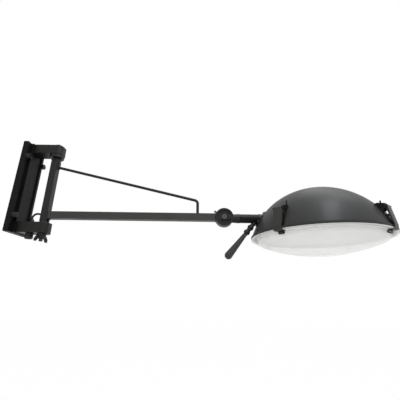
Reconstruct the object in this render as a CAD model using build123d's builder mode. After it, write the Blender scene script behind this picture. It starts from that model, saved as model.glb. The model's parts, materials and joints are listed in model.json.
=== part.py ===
from build123d import *
import os
from math import cos, radians, sin, sqrt

os.makedirs("parts", exist_ok=True)

# Millimetres. The origin is the middle of the wall plate's back.
# X runs out from the wall along the arm, Z is up.
GAP = 0.3  # between parts that move past each other
RUN = 0.05  # radial running fit
BASE = (Align.CENTER, Align.CENTER, Align.MIN)
ALONG_X = (0, 90, 0)
ALONG_Y = (90, 0, 0)

# Wall housing
PAN_W = 96.0
PAN_H = 283.0
PAN_D = 14.0
SHEET = 2.0
PLATE_T = 4.0
PLATE_PLAY = 0.5
PAN_CORNER = 3.0
PAN_EDGE = 2.0
BOLT_Y = 39.0
BOLT_Z = 93.0
BOLT_R = 4.0
BOLT_AF = 15.0
BOLT_HEAD = 10.0
BOLT_FLANGE_R = 8.8
BOLT_FLANGE_T = 1.4
BOSS_R = 6.2
WALL_HOLE_R = 3.25
WALL_HOLE_Y = 50.0
WALL_HOLE_Z = 140.0
TERMINAL_W = 40.0
TERMINAL_H = 20.0
TERMINAL_PLAY = 1.0
TERMINAL_RISE = 60.0
POCKET = (5.0, 7.0, 9.0)
POCKET_STEP = 12.0

# Bracket: a shallow channel with a hollow arm at each end
WEB_W = 60.0
WEB_T = 3.0
WEB_D = 7.0
WEB_INSET = 0.5
LOWER_INSET = 2.5
UPPER_RISE = 1.3
BRACKET_W = 44.0
BRACKET_T = 3.0
BRACKET_NOSE = 20.5
BRACKET_R = 17.0
UPPER_H = 28.5
LOWER_H = 31.0
DUCT_W = 20.0
DUCT_H = 16.0

# Pivot
PIVOT_X = 83.5
PIVOT_R = 5.0
PIVOT_AF = 17.0
PIVOT_HEAD = 6.5
PIVOT_FLANGE_R = 11.0
PIVOT_FLANGE_T = 2.0
PIVOT_TAIL_L = 22.5
BOLT_CHAMFER = 1.0
UPPER_DISC_R = 21.0
UPPER_DISC_T = 10.5
UPPER_DISC_EDGE = 1.2
LOWER_DISC_R = 14.0
LOWER_DISC_T = 2.5
TUBE = 20.0
TUBE_T = 1.5
PLUG_DEPTH = 14.0
UPPER_COLLAR_R = 10.5
UPPER_COLLAR_H = 2.2
LOWER_COLLAR_R = 13.0
LOWER_COLLAR_H = 3.2

# Nuts: a wing's and a lever's outline, outwards from the axis and away from the clamped face
NUT_H = 11.0
WING_NUT_H = 14.5
NUT_FOOT = 8.0
NUT_NOSE = 5.0
WING_T = 5.0
WING_ROUND = 1.8
WING = (
    (8.0, 2.0),
    (13.0, 3.5),
    (19.0, 11.5),
    (21.5, 17.0),
    (20.5, 23.5),
    (15.5, 23.0),
    (11.5, 15.5),
    (8.0, 13.5),
)
WING_DEG = 69.0
LEVER_T = 5.0
LEVER = (
    (8.0, 2.0),
    (14.0, 2.5),
    (34.0, 9.0),
    (39.5, 13.0),
    (38.5, 18.0),
    (32.0, 17.0),
    (14.0, 10.0),
    (8.0, 10.0),
)
LEVER_TAIL = 15.0
LEVER_DEG = 133.0

# Gland and swivel lead, whose route runs out from the wall and up from the lower bracket arm
GLAND_X = 47.0
GLAND_R = 10.5
GLAND_THREAD_R = 7.5
GLAND_BODY_H = 5.5
GLAND_BORE_R = 5.8
GLAND_NUT_H = 10.0
GLAND_NUT_BORE_R = 8.0
GLAND_NUT_EDGE = 1.5
GLAND_TAIL = 1.0
SEAL_BORE_R = 3.5
SEAL_INSET = 1.0
LOCKNUT_AF = 20.0
LOCKNUT_H = 4.0
LEAD_R = 3.0
LEAD_SHARE = 0.45  # of the shorter run, taken up by a corner's arc
LEAD_ROUTE = ((44.6, -3.4), (44.6, 17.0), (50.5, 26.0), (59.0, 29.5), (68.0, 27.5), (75.5, 27.5))
LEAD_GROMMET_R = 4.8
LEAD_GROMMET_LIP_R = 6.0
TUBE_GROMMET_R = 4.6
TUBE_GROMMET_LIP_R = 5.8
GROMMET_LIP_T = 1.5

# Swing arm and stay
AXIS_RISE = 24.5
ARM_L = 523.5
ARM_H = 21.8
GUSSET = 7.0
GUSSET_T = 6.0
STAY_R = 4.2
STAY_BELOW_TOP = 28.1
STAY_SEAT = 2.0
STAY_BEND_BACK = 79.7
STAY_FOOT_BACK = 79.2
STAY_RISE = 51.8
STAY_BEND = 11.0
LUG_UP = 21.0
LUG_DOWN = 5.0
LUG_W = 11.0
LUG_D = 4.0
LUG_EDGE = 3.0

# Knuckle
DISC_R = 27.0
DISC_HALF = 13.0
DISC_EDGE = 1.2
FACE_STEP = 4.0
FACE_R = 21.5
BOSS_RIB_R = 10.5
KBOLT_R = 5.0
KBOLT_AF = 15.0
KBOLT_HEAD = 6.0
KBOLT_TURN = 15.0
KBOLT_TAIL_L = 14.0
NECK_R = 11.0
NECK_LIP = 0.8
NECK_L = 45.0

# Head
STEM_R = 13.3
STEM_DROP = 2.0
STEM_OUT = 63.0
STEM_T = 2.0
RIM_DROP = 58.5
RIM_R = 193.5
DOME_H = 147.5
DOME_T = 1.5
HEM_H = 6.0
HEM_OUT = 1.2
SADDLE_R = 22.5
SADDLE_T = 3.0
SADDLE_COLLAR_R = 14.3
SADDLE_COLLAR_L = 6.0
SCREW_R = 2.0
SCREW_HEAD_R = 3.2
SCREW_CROWN_R = 2.3
SCREW_HEAD = 2.4
SCREW_AT = 18.2
SCREW_NUT_R = 3.2
SCREW_NUT_H = 1.2
SCREW_TURNS = (45.0, 135.0, 225.0, 315.0)
NIPPLE_R = 6.0
NIPPLE_T = 1.5
NIPPLE_BACK = 25.0
NIPPLE_NUT_BACK = 23.0
NIPPLE_NUT_H = 6.0

# Handle, measured along its own axis from the stem's axis
HANDLE_ON = 7.8
HANDLE_DEG = 129.2
STUD_R = 6.5
BEAD_R = 9.2
BEADS = (35.0, 53.0)
GRIP_AT = 58.0
GRIP_L = 82.5
GRIP_R0 = 5.8
GRIP_R1 = 11.2

# Lampholder and bulb, along the stem's axis
HOLDER_IN = 25.4
HOLDER_R = 22.0
HOLDER_T = 2.0
HOLDER_L = 50.0
CORE_L = 18.0
SLEEVE_T = 2.5
SLEEVE_L = 22.0
CAP_R = 13.0
CAP_PLAY = 0.2
CAP_L = 25.0
CAP_BASE = 3.0
BULB_R = 30.0
BULB_L = 79.0
BULB_T = 1.0
BULB_SHOULDER_R = 24.0
BULB_SHOULDER_BACK = 18.0

# Glass, whose flange lies under the rim; IN is measured inwards from the rim's radius
GLASS_OUT = 0.6
GLASS_T = 3.0
GLASS_SEAT = 0.3
BOWL_IN = 17.0
BOWL_D = 46.5
BOWL_WALL = 11.0
BOWL_CORNER = 14.0
GASKET_OUT = 6.0
GASKET_IN = 15.5
GASKET_T = 1.5
SEAT_IN = 17.5
SEAT_T = 1.5

# Glass clips; U is measured out from the rim's radius and W up from the rim's plane
CLIPS = {"front_left": 38.5, "rear_left": 128.5, "rear_right": 218.5, "front_right": 308.5}
CLIP_W = 25.0
CLIP_T = 1.6
CLIP_BEND = 2.5
HINGE_OUT = 18.8
HINGE_W = 56.0
PIN_R = 1.5
PIN_END = 0.8
BARREL_R = 3.2
LEG_PLAY = 0.7
KNEE_OUT = 1.2
KNEE_W = 7.0
CURL_U = -12.0
CURL_R = 4.4
CURL_L = 14.0
CURL_SINK = 0.2
CURL_GAP = 0.4
FLANGE_D = 3.0
FLANGE_W0 = 12.0
FLANGE_W1 = 48.0
EAR_T = 2.0
EAR_EDGE = 1.0
EAR_FOOT = 22.0
FOOT_T = 2.0
FOOT_W0 = 8.0
FOOT_W1 = 62.0
FOOT_SINK = 8.0
FOOT_SIDE = 1.0
EAR_TOP_U = -24.0
EAR_TOP_W = 65.0
PRONG_W = 4.0
PRONG_H = 12.0
PRONG_LEAN = 1.0
RIVET_W = (16.0, 31.5)
RIVET_R = 2.0
RIVET_HEAD_R = 3.8
RIVET_CROWN_R = 2.2
RIVET_HEAD = 3.5
TAIL_R = 3.2
TAIL_H = 1.2

# Places that follow from the sizes above
WEB_H = PAN_H - 2 * WEB_INSET
WEB_FRONT = PAN_D + WEB_T
BRACKET_END = PIVOT_X + BRACKET_NOSE
UPPER_Z1 = PAN_H / 2 + UPPER_RISE
UPPER_Z0 = UPPER_Z1 - UPPER_H
LOWER_Z0 = -PAN_H / 2 + LOWER_INSET
LOWER_Z1 = LOWER_Z0 + LOWER_H
DUCT_Z = (LOWER_Z0 + LOWER_Z1) / 2
PIVOT_TAIL = LOWER_Z0 - PIVOT_TAIL_L
UPPER_DISC_Z = UPPER_Z0 - UPPER_DISC_T
LOWER_DISC_Z = LOWER_Z1 + LOWER_DISC_T
TUBE_IN = TUBE - 2 * TUBE_T
TUBE_TOP = UPPER_DISC_Z - GAP - UPPER_COLLAR_H
TUBE_LOW = LOWER_DISC_Z + GAP + LOWER_COLLAR_H
TUBE_BACK = PIVOT_X - TUBE / 2
TUBE_FRONT = PIVOT_X + TUBE / 2
LEAD_X = LEAD_ROUTE[0][0]
LEAD_OUT_Z = LOWER_Z1 + LEAD_ROUTE[-1][1]
GLAND_NUT_Z = LOWER_Z0 - GLAND_BODY_H - GLAND_NUT_H
NUT_TOP = LOWER_Z0 - GAP
AXIS_Z = LOWER_Z1 + AXIS_RISE
KNUCKLE_X = TUBE_FRONT + ARM_L
STAY_Z0 = TUBE_TOP - STAY_BELOW_TOP
KBOLT_SEAT = -DISC_HALF + FACE_STEP - GAP
KBOLT_TAIL = DISC_HALF + KBOLT_TAIL_L
KNUT_Y = DISC_HALF + GAP
STEM_Z = AXIS_Z - STEM_DROP
NECK_END = KNUCKLE_X + NECK_L
STEM_END = NECK_END + STEM_OUT
RIM_Z = AXIS_Z - RIM_DROP
DOME_R = (RIM_R**2 + DOME_H**2) / (2 * DOME_H)
DOME_DROP = DOME_R - DOME_H
DOME_Z = RIM_Z - DOME_DROP
DOME_IN = DOME_R - DOME_T
SHADE_X = STEM_END + sqrt(DOME_R**2 - (STEM_Z - DOME_Z) ** 2)
STEM_L = SHADE_X - NECK_END
SADDLE_COLLAR_X = STEM_END - SADDLE_COLLAR_L
NIPPLE_X = STEM_END - NIPPLE_BACK
SADDLE_LOW_X = SHADE_X - sqrt((DOME_R + SADDLE_T) ** 2 - (STEM_Z - SADDLE_R - DOME_Z) ** 2)
HANDLE_X = SADDLE_LOW_X + HANDLE_ON
GRIP_END = GRIP_AT + GRIP_L
CORE_X = STEM_END + HOLDER_IN + HOLDER_T
HOLDER_X = CORE_X - HOLDER_T
NIPPLE_L = CORE_X - NIPPLE_X
CAP_X = CORE_X + CORE_L
BULB_X = CAP_X + CAP_L
BULB_MID = BULB_X + BULB_L - BULB_R
BULB_SHOULDER_L = BULB_MID - BULB_SHOULDER_BACK - BULB_X
GLASS_R = RIM_R + GLASS_OUT
GLASS_TOP = -GLASS_SEAT
GLASS_LOW = GLASS_TOP - GLASS_T
GASKET_TOP = GLASS_TOP + GASKET_T
BOWL_R = RIM_R - BOWL_IN
BOWL_CAP = BOWL_D - BOWL_WALL
BOWL_RHO = (BOWL_R**2 + BOWL_CAP**2) / (2 * BOWL_CAP)
BOWL_Z = RIM_Z + GLASS_LOW - BOWL_D + BOWL_RHO
STRAP_FOOT_W = GLASS_LOW - CURL_GAP
CURL_W = STRAP_FOOT_W - CURL_SINK - CURL_R
EAR_V = CLIP_W / 2 + GAP


def dome_reach(height):
    """The dome's outer radius at a height above the rim's plane."""
    return sqrt(DOME_R**2 - (height + DOME_DROP) ** 2)


HINGE_R = dome_reach(HINGE_W) + HINGE_OUT
FOOT_R = dome_reach(FOOT_W1)
EAR_TOP_R = RIM_R + EAR_TOP_U
STRAP_TOP_R = HINGE_R + BARREL_R - CLIP_T
LEG_R = RIM_R + HEM_OUT + LEG_PLAY
KNEE_R = LEG_R + KNEE_OUT


def strap_reach(height):
    """The strap's inner radius at a height between its knee and its hinge."""
    return STRAP_TOP_R + (KNEE_R - STRAP_TOP_R) * (HINGE_W - height) / (HINGE_W - KNEE_W)



# The wall plate carries the four bosses that the housing bolts screw into
with BuildPart() as wall_plate:
    with Locations((PLATE_T / 2, 0, 0)):
        Box(PLATE_T, PAN_W - 2 * SHEET - 2 * PLATE_PLAY, PAN_H - 2 * SHEET - 2 * PLATE_PLAY)
    with BuildSketch(Plane.YZ.offset(PLATE_T)):
        with GridLocations(2 * BOLT_Y, 2 * BOLT_Z, 2, 2):
            Circle(BOSS_R)
    extrude(amount=PAN_D - SHEET - PLATE_T)
    with BuildSketch(Plane.YZ):
        with GridLocations(2 * BOLT_Y, 2 * BOLT_Z, 2, 2):
            Circle(BOLT_R)
    extrude(amount=PAN_D, mode=Mode.SUBTRACT)
    with BuildSketch(Plane.YZ):
        with GridLocations(WALL_HOLE_Y, WALL_HOLE_Z, 2, 2):
            Circle(WALL_HOLE_R)
    extrude(amount=PLATE_T, mode=Mode.SUBTRACT)
wall_plate.part.label = "wall_plate"
export_step(wall_plate.part, "parts/wall_plate.step")

with BuildPart() as housing_pan:
    with Locations((PAN_D / 2, 0, 0)):
        Box(PAN_D, PAN_W, PAN_H)
    fillet(housing_pan.edges().filter_by(Axis.X), PAN_CORNER)
    fillet(housing_pan.faces().sort_by(Axis.X)[-1].edges(), PAN_EDGE)
    with Locations(((PAN_D - SHEET) / 2, 0, 0)):
        Box(PAN_D - SHEET, PAN_W - 2 * SHEET, PAN_H - 2 * SHEET, mode=Mode.SUBTRACT)
    with BuildSketch(Plane.YZ):
        with GridLocations(2 * BOLT_Y, 2 * BOLT_Z, 2, 2):
            Circle(BOLT_R)
        with Locations((0, DUCT_Z)):
            Rectangle(DUCT_W, DUCT_H)
    extrude(amount=PAN_D, mode=Mode.SUBTRACT)
housing_pan.part.label = "housing_pan"
export_step(housing_pan.part, "parts/housing_pan.step")

with BuildPart() as housing_bolts:
    with BuildSketch(Plane.YZ.offset(PLATE_T / 2)):
        with GridLocations(2 * BOLT_Y, 2 * BOLT_Z, 2, 2):
            Circle(BOLT_R)
    extrude(amount=PAN_D - PLATE_T / 2)
    with BuildSketch(Plane.YZ.offset(PAN_D)):
        with GridLocations(2 * BOLT_Y, 2 * BOLT_Z, 2, 2):
            Circle(BOLT_FLANGE_R)
    extrude(amount=BOLT_FLANGE_T)
    with BuildSketch(Plane.YZ.offset(PAN_D + BOLT_FLANGE_T)):
        with GridLocations(2 * BOLT_Y, 2 * BOLT_Z, 2, 2):
            RegularPolygon(BOLT_AF / 2, 6, major_radius=False)
    extrude(amount=BOLT_HEAD)
housing_bolts.part.label = "housing_bolts"
export_step(housing_bolts.part, "parts/housing_bolts.step")

with BuildPart() as bracket_web:
    with Locations((PAN_D + WEB_T / 2, 0, 0)):
        Box(WEB_T, WEB_W, WEB_H)
    for side in (-1, 1):
        with Locations((PAN_D + WEB_D / 2, side * (WEB_W - WEB_T) / 2, 0)):
            Box(WEB_D, WEB_T, WEB_H)
    with BuildSketch(Plane.YZ.offset(PAN_D)):
        with Locations((0, DUCT_Z)):
            Rectangle(DUCT_W, DUCT_H)
    extrude(amount=WEB_T, mode=Mode.SUBTRACT)
bracket_web.part.label = "bracket_web"
export_step(bracket_web.part, "parts/bracket_web.step")

# Each bracket arm is a folded box, open towards the web, with a rounded end round the pivot
with BuildPart() as upper_bracket_arm:
    with BuildSketch(Plane.XY.offset(UPPER_Z0)) as upper_plan:
        with Locations(((WEB_FRONT + BRACKET_END) / 2, 0)):
            Rectangle(BRACKET_END - WEB_FRONT, BRACKET_W)
        fillet(upper_plan.vertices().group_by(Axis.X)[-1], BRACKET_R)
    extrude(amount=UPPER_Z1 - UPPER_Z0)
    with BuildSketch(Plane.XY.offset(UPPER_Z0 + BRACKET_T)) as upper_hollow:
        with Locations(((WEB_FRONT + BRACKET_END - BRACKET_T) / 2, 0)):
            Rectangle(BRACKET_END - BRACKET_T - WEB_FRONT, BRACKET_W - 2 * BRACKET_T)
        fillet(upper_hollow.vertices().group_by(Axis.X)[-1], BRACKET_R - BRACKET_T)
    extrude(amount=UPPER_Z1 - UPPER_Z0 - 2 * BRACKET_T, mode=Mode.SUBTRACT)
    with Locations((PIVOT_X, 0, UPPER_Z0)):
        Cylinder(PIVOT_R, UPPER_Z1 - UPPER_Z0, align=BASE, mode=Mode.SUBTRACT)
upper_bracket_arm.part.label = "upper_bracket_arm"
export_step(upper_bracket_arm.part, "parts/upper_bracket_arm.step")

with BuildPart() as lower_bracket_arm:
    with BuildSketch(Plane.XY.offset(LOWER_Z0)) as lower_plan:
        with Locations(((WEB_FRONT + BRACKET_END) / 2, 0)):
            Rectangle(BRACKET_END - WEB_FRONT, BRACKET_W)
        fillet(lower_plan.vertices().group_by(Axis.X)[-1], BRACKET_R)
    extrude(amount=LOWER_Z1 - LOWER_Z0)
    with BuildSketch(Plane.XY.offset(LOWER_Z0 + BRACKET_T)) as lower_hollow:
        with Locations(((WEB_FRONT + BRACKET_END - BRACKET_T) / 2, 0)):
            Rectangle(BRACKET_END - BRACKET_T - WEB_FRONT, BRACKET_W - 2 * BRACKET_T)
        fillet(lower_hollow.vertices().group_by(Axis.X)[-1], BRACKET_R - BRACKET_T)
    extrude(amount=LOWER_Z1 - LOWER_Z0 - 2 * BRACKET_T, mode=Mode.SUBTRACT)
    with Locations((PIVOT_X, 0, LOWER_Z0)):
        Cylinder(PIVOT_R, LOWER_Z1 - LOWER_Z0, align=BASE, mode=Mode.SUBTRACT)
    with Locations((GLAND_X, 0, LOWER_Z0)):
        Cylinder(GLAND_THREAD_R, BRACKET_T, align=BASE, mode=Mode.SUBTRACT)
    with Locations((LEAD_X, 0, LOWER_Z1 - BRACKET_T)):
        Cylinder(LEAD_GROMMET_R, BRACKET_T, align=BASE, mode=Mode.SUBTRACT)
lower_bracket_arm.part.label = "lower_bracket_arm"
export_step(lower_bracket_arm.part, "parts/lower_bracket_arm.step")

with BuildPart() as pivot_bolt:
    with Locations((PIVOT_X, 0, PIVOT_TAIL)):
        Cylinder(PIVOT_R, UPPER_Z1 - PIVOT_TAIL, align=BASE)
    chamfer(pivot_bolt.faces().sort_by(Axis.Z)[0].edges(), BOLT_CHAMFER)
    with Locations((PIVOT_X, 0, UPPER_Z1)):
        Cylinder(PIVOT_FLANGE_R, PIVOT_FLANGE_T, align=BASE)
    with BuildSketch(Plane.XY.offset(UPPER_Z1 + PIVOT_FLANGE_T)):
        with Locations((PIVOT_X, 0)):
            RegularPolygon(PIVOT_AF / 2, 6, major_radius=False)
    extrude(amount=PIVOT_HEAD)
pivot_bolt.part.label = "pivot_bolt"
export_step(pivot_bolt.part, "parts/pivot_bolt.step")

with BuildPart() as upper_disc:
    with Locations((PIVOT_X, 0, UPPER_DISC_Z)):
        Cylinder(UPPER_DISC_R, UPPER_DISC_T, align=BASE)
    fillet(upper_disc.faces().sort_by(Axis.Z)[0].edges(), UPPER_DISC_EDGE)
    with Locations((PIVOT_X, 0, UPPER_DISC_Z)):
        Cylinder(PIVOT_R, UPPER_DISC_T, align=BASE, mode=Mode.SUBTRACT)
upper_disc.part.label = "upper_disc"
export_step(upper_disc.part, "parts/upper_disc.step")

with BuildPart() as lower_disc:
    with Locations((PIVOT_X, 0, LOWER_Z1)):
        Cylinder(LOWER_DISC_R, LOWER_DISC_T, align=BASE)
        Cylinder(PIVOT_R, LOWER_DISC_T, align=BASE, mode=Mode.SUBTRACT)
lower_disc.part.label = "lower_disc"
export_step(lower_disc.part, "parts/lower_disc.step")

with BuildPart() as gland_body:
    with Locations((GLAND_X, 0, LOWER_Z0 - GLAND_BODY_H)):
        Cylinder(GLAND_R, GLAND_BODY_H, align=BASE)
    with Locations((GLAND_X, 0, LOWER_Z0)):
        Cylinder(GLAND_THREAD_R, BRACKET_T + LOCKNUT_H + GLAND_TAIL, align=BASE)
    with Locations((GLAND_X, 0, LOWER_Z0 - GLAND_BODY_H)):
        Cylinder(
            GLAND_BORE_R,
            GLAND_BODY_H + BRACKET_T + LOCKNUT_H + GLAND_TAIL,
            align=BASE,
            mode=Mode.SUBTRACT,
        )
gland_body.part.label = "gland_body"
export_step(gland_body.part, "parts/gland_body.step")

with BuildPart() as gland_locknut:
    with BuildSketch(Plane.XY.offset(LOWER_Z0 + BRACKET_T)):
        with Locations((GLAND_X, 0)):
            RegularPolygon(LOCKNUT_AF / 2, 6, major_radius=False)
            Circle(GLAND_THREAD_R, mode=Mode.SUBTRACT)
    extrude(amount=LOCKNUT_H)
gland_locknut.part.label = "gland_locknut"
export_step(gland_locknut.part, "parts/gland_locknut.step")

with BuildPart() as gland_nut:
    with Locations((GLAND_X, 0, GLAND_NUT_Z)):
        Cylinder(GLAND_R, GLAND_NUT_H, align=BASE)
    fillet(gland_nut.faces().sort_by(Axis.Z)[0].edges(), GLAND_NUT_EDGE)
    with Locations((GLAND_X, 0, GLAND_NUT_Z)):
        Cylinder(GLAND_NUT_BORE_R, GLAND_NUT_H, align=BASE, mode=Mode.SUBTRACT)
gland_nut.part.label = "gland_nut"
export_step(gland_nut.part, "parts/gland_nut.step")

with BuildPart() as gland_seal:
    with Locations((GLAND_X, 0, GLAND_NUT_Z + SEAL_INSET)):
        Cylinder(GLAND_NUT_BORE_R, GLAND_NUT_H - SEAL_INSET, align=BASE)
        Cylinder(SEAL_BORE_R, GLAND_NUT_H - SEAL_INSET, align=BASE, mode=Mode.SUBTRACT)
gland_seal.part.label = "gland_seal"
export_step(gland_seal.part, "parts/gland_seal.step")

TERMINAL_X = PAN_D - SHEET - TERMINAL_PLAY
TERMINAL_Z = DUCT_Z + TERMINAL_RISE
with BuildPart() as terminal_block:
    with Locations(((PLATE_T + TERMINAL_X) / 2, 0, TERMINAL_Z)):
        Box(TERMINAL_X - PLATE_T, TERMINAL_W, TERMINAL_H)
    for step in (-1, 0, 1):
        with Locations((TERMINAL_X, step * POCKET_STEP, TERMINAL_Z)):
            Box(*POCKET, mode=Mode.SUBTRACT)
terminal_block.part.label = "terminal_block"
export_step(terminal_block.part, "parts/terminal_block.step")

# The lead leaves the lower bracket arm through one grommet and enters the pivot tube's back through another
with BuildPart() as lead_grommet:
    with Locations((LEAD_X, 0, LOWER_Z1 - BRACKET_T)):
        Cylinder(LEAD_GROMMET_R, BRACKET_T, align=BASE)
    with Locations((LEAD_X, 0, LOWER_Z1)):
        Cylinder(LEAD_GROMMET_LIP_R, GROMMET_LIP_T, align=BASE)
    with Locations((LEAD_X, 0, LOWER_Z1 - BRACKET_T)):
        Cylinder(LEAD_R, BRACKET_T + GROMMET_LIP_T, align=BASE, mode=Mode.SUBTRACT)
lead_grommet.part.label = "lead_grommet"
export_step(lead_grommet.part, "parts/lead_grommet.step")

with BuildPart() as tube_grommet:
    with Locations((TUBE_BACK - GROMMET_LIP_T, 0, LEAD_OUT_Z)):
        Cylinder(TUBE_GROMMET_LIP_R, GROMMET_LIP_T, rotation=ALONG_X, align=BASE)
    with Locations((TUBE_BACK, 0, LEAD_OUT_Z)):
        Cylinder(TUBE_GROMMET_R, TUBE_T, rotation=ALONG_X, align=BASE)
    with Locations((TUBE_BACK - GROMMET_LIP_T, 0, LEAD_OUT_Z)):
        Cylinder(LEAD_R + GAP, TUBE_T + GROMMET_LIP_T, rotation=ALONG_X, align=BASE, mode=Mode.SUBTRACT)
tube_grommet.part.label = "tube_grommet"
export_step(tube_grommet.part, "parts/tube_grommet.step")

# Each corner of the lead's route is an arc as large as its two runs allow
LEAD_POINTS = [Vector(x, 0, LOWER_Z1 + rise) for x, rise in LEAD_ROUTE]
LEAD_RADII = []
for before, corner, after in zip(LEAD_POINTS, LEAD_POINTS[1:], LEAD_POINTS[2:]):
    run_in = corner - before
    run_out = after - corner
    half_turn = radians(run_in.get_angle(run_out) / 2)
    LEAD_RADII.append(LEAD_SHARE * min(run_in.length, run_out.length) * cos(half_turn) / sin(half_turn))
print("lead radii", [round(radius, 1) for radius in LEAD_RADII])
with BuildPart() as swivel_lead:
    with BuildLine() as lead_path:
        FilletPolyline(*LEAD_POINTS, radius=LEAD_RADII)
    with BuildSketch(Plane(origin=LEAD_POINTS[0], z_dir=(0, 0, 1))):
        Circle(LEAD_R)
    sweep(path=lead_path.wires()[0])
print("lead length", round(lead_path.wires()[0].length, 1))
swivel_lead.part.label = "swivel_lead"
export_step(swivel_lead.part, "parts/swivel_lead.step")

# The wing nut under the lower bracket arm
WING_PLANE = Plane(
    origin=(PIVOT_X, 0, NUT_TOP),
    x_dir=(cos(radians(WING_DEG)), sin(radians(WING_DEG)), 0),
    z_dir=(-sin(radians(WING_DEG)), cos(radians(WING_DEG)), 0),
)
with BuildPart() as pivot_wing_nut:
    with Locations((PIVOT_X, 0, NUT_TOP - WING_NUT_H)):
        Cone(PIVOT_R + NUT_NOSE, PIVOT_R + NUT_FOOT, WING_NUT_H, align=BASE)
    for side in (-1, 1):
        with BuildSketch(WING_PLANE) as wing_face:
            with BuildLine():
                Polyline(*[(side * out, down) for out, down in WING], close=True)
            make_face()
            fillet(wing_face.vertices().sort_by_distance((PIVOT_X, 0, NUT_TOP))[-4:], WING_ROUND)
        extrude(amount=WING_T / 2, both=True)
    with Locations((PIVOT_X, 0, PIVOT_TAIL)):
        Cylinder(PIVOT_R + RUN, NUT_TOP - PIVOT_TAIL, align=BASE, mode=Mode.SUBTRACT)
pivot_wing_nut.part.label = "pivot_wing_nut"
export_step(pivot_wing_nut.part, "parts/pivot_wing_nut.step")

# The pivot tube turns on the bolt by a plug at each end
with BuildPart() as pivot_tube:
    with Locations((PIVOT_X, 0, TUBE_LOW)):
        Box(TUBE, TUBE, TUBE_TOP - TUBE_LOW, align=BASE)
        Box(TUBE_IN, TUBE_IN, TUBE_TOP - TUBE_LOW, align=BASE, mode=Mode.SUBTRACT)
    with Locations((TUBE_BACK, 0, LEAD_OUT_Z)):
        Cylinder(TUBE_GROMMET_R, TUBE_T, rotation=ALONG_X, align=BASE, mode=Mode.SUBTRACT)
pivot_tube.part.label = "pivot_tube"
export_step(pivot_tube.part, "parts/pivot_tube.step")

with BuildPart() as upper_tube_plug:
    with Locations((PIVOT_X, 0, TUBE_TOP)):
        Cylinder(UPPER_COLLAR_R, UPPER_COLLAR_H, align=BASE)
    with Locations((PIVOT_X, 0, TUBE_TOP - PLUG_DEPTH)):
        Box(TUBE_IN, TUBE_IN, PLUG_DEPTH, align=BASE)
        Cylinder(PIVOT_R + RUN, UPPER_DISC_Z - TUBE_TOP + PLUG_DEPTH, align=BASE, mode=Mode.SUBTRACT)
upper_tube_plug.part.label = "upper_tube_plug"
export_step(upper_tube_plug.part, "parts/upper_tube_plug.step")

with BuildPart() as lower_tube_plug:
    with Locations((PIVOT_X, 0, LOWER_DISC_Z + GAP)):
        Cylinder(LOWER_COLLAR_R, LOWER_COLLAR_H, align=BASE)
    with Locations((PIVOT_X, 0, TUBE_LOW)):
        Box(TUBE_IN, TUBE_IN, PLUG_DEPTH, align=BASE)
    with Locations((PIVOT_X, 0, LOWER_DISC_Z)):
        Cylinder(PIVOT_R + RUN, TUBE_LOW + PLUG_DEPTH - LOWER_DISC_Z, align=BASE, mode=Mode.SUBTRACT)
lower_tube_plug.part.label = "lower_tube_plug"
export_step(lower_tube_plug.part, "parts/lower_tube_plug.step")

with BuildPart() as swing_arm:
    with Locations((TUBE_FRONT + ARM_L / 2, 0, AXIS_Z)):
        Box(ARM_L, TUBE, ARM_H)
        Box(ARM_L, TUBE_IN, ARM_H - 2 * TUBE_T, mode=Mode.SUBTRACT)
    with Locations((KNUCKLE_X, DISC_HALF, AXIS_Z)):
        Cylinder(DISC_R, 2 * DISC_HALF, rotation=ALONG_Y, mode=Mode.SUBTRACT)
    with Locations((KNUCKLE_X, -DISC_HALF, AXIS_Z)):
        Cylinder(DISC_R + GAP, 2 * DISC_HALF, rotation=ALONG_Y, mode=Mode.SUBTRACT)
swing_arm.part.label = "swing_arm"
export_step(swing_arm.part, "parts/swing_arm.step")

with BuildPart() as arm_gusset:
    with BuildSketch(Plane.XZ):
        with BuildLine():
            Polyline(
                (TUBE_FRONT, AXIS_Z - ARM_H / 2),
                (TUBE_FRONT + GUSSET, AXIS_Z - ARM_H / 2),
                (TUBE_FRONT, AXIS_Z - ARM_H / 2 - GUSSET),
                close=True,
            )
        make_face()
    extrude(amount=GUSSET_T / 2, both=True)
arm_gusset.part.label = "arm_gusset"
export_step(arm_gusset.part, "parts/arm_gusset.step")

with BuildPart() as stay_rod:
    with BuildLine() as stay_path:
        FilletPolyline(
            (TUBE_FRONT + STAY_SEAT, 0, STAY_Z0),
            (KNUCKLE_X - STAY_BEND_BACK, 0, AXIS_Z + STAY_RISE),
            (KNUCKLE_X - STAY_FOOT_BACK, 0, AXIS_Z),
            radius=STAY_BEND,
        )
    with BuildSketch(Plane(origin=stay_path.wires()[0] @ 0, z_dir=stay_path.wires()[0] % 0)):
        Circle(STAY_R)
    sweep(path=stay_path.wires()[0])
    with Locations((KNUCKLE_X - STAY_FOOT_BACK, 0, AXIS_Z)):
        Box(4 * TUBE, TUBE, ARM_H, mode=Mode.SUBTRACT)
stay_rod.part.label = "stay_rod"
export_step(stay_rod.part, "parts/stay_rod.step")

with BuildPart() as stay_lug:
    with Locations((TUBE_FRONT + LUG_D / 2, 0, STAY_Z0 - LUG_DOWN)):
        Box(LUG_D, LUG_W, LUG_DOWN + LUG_UP, align=BASE)
    fillet(stay_lug.faces().sort_by(Axis.X)[-1].edges().filter_by(Axis.Y), LUG_EDGE)
    add(stay_rod.part, mode=Mode.SUBTRACT)
stay_lug.part.label = "stay_lug"
export_step(stay_lug.part, "parts/stay_lug.step")

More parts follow.
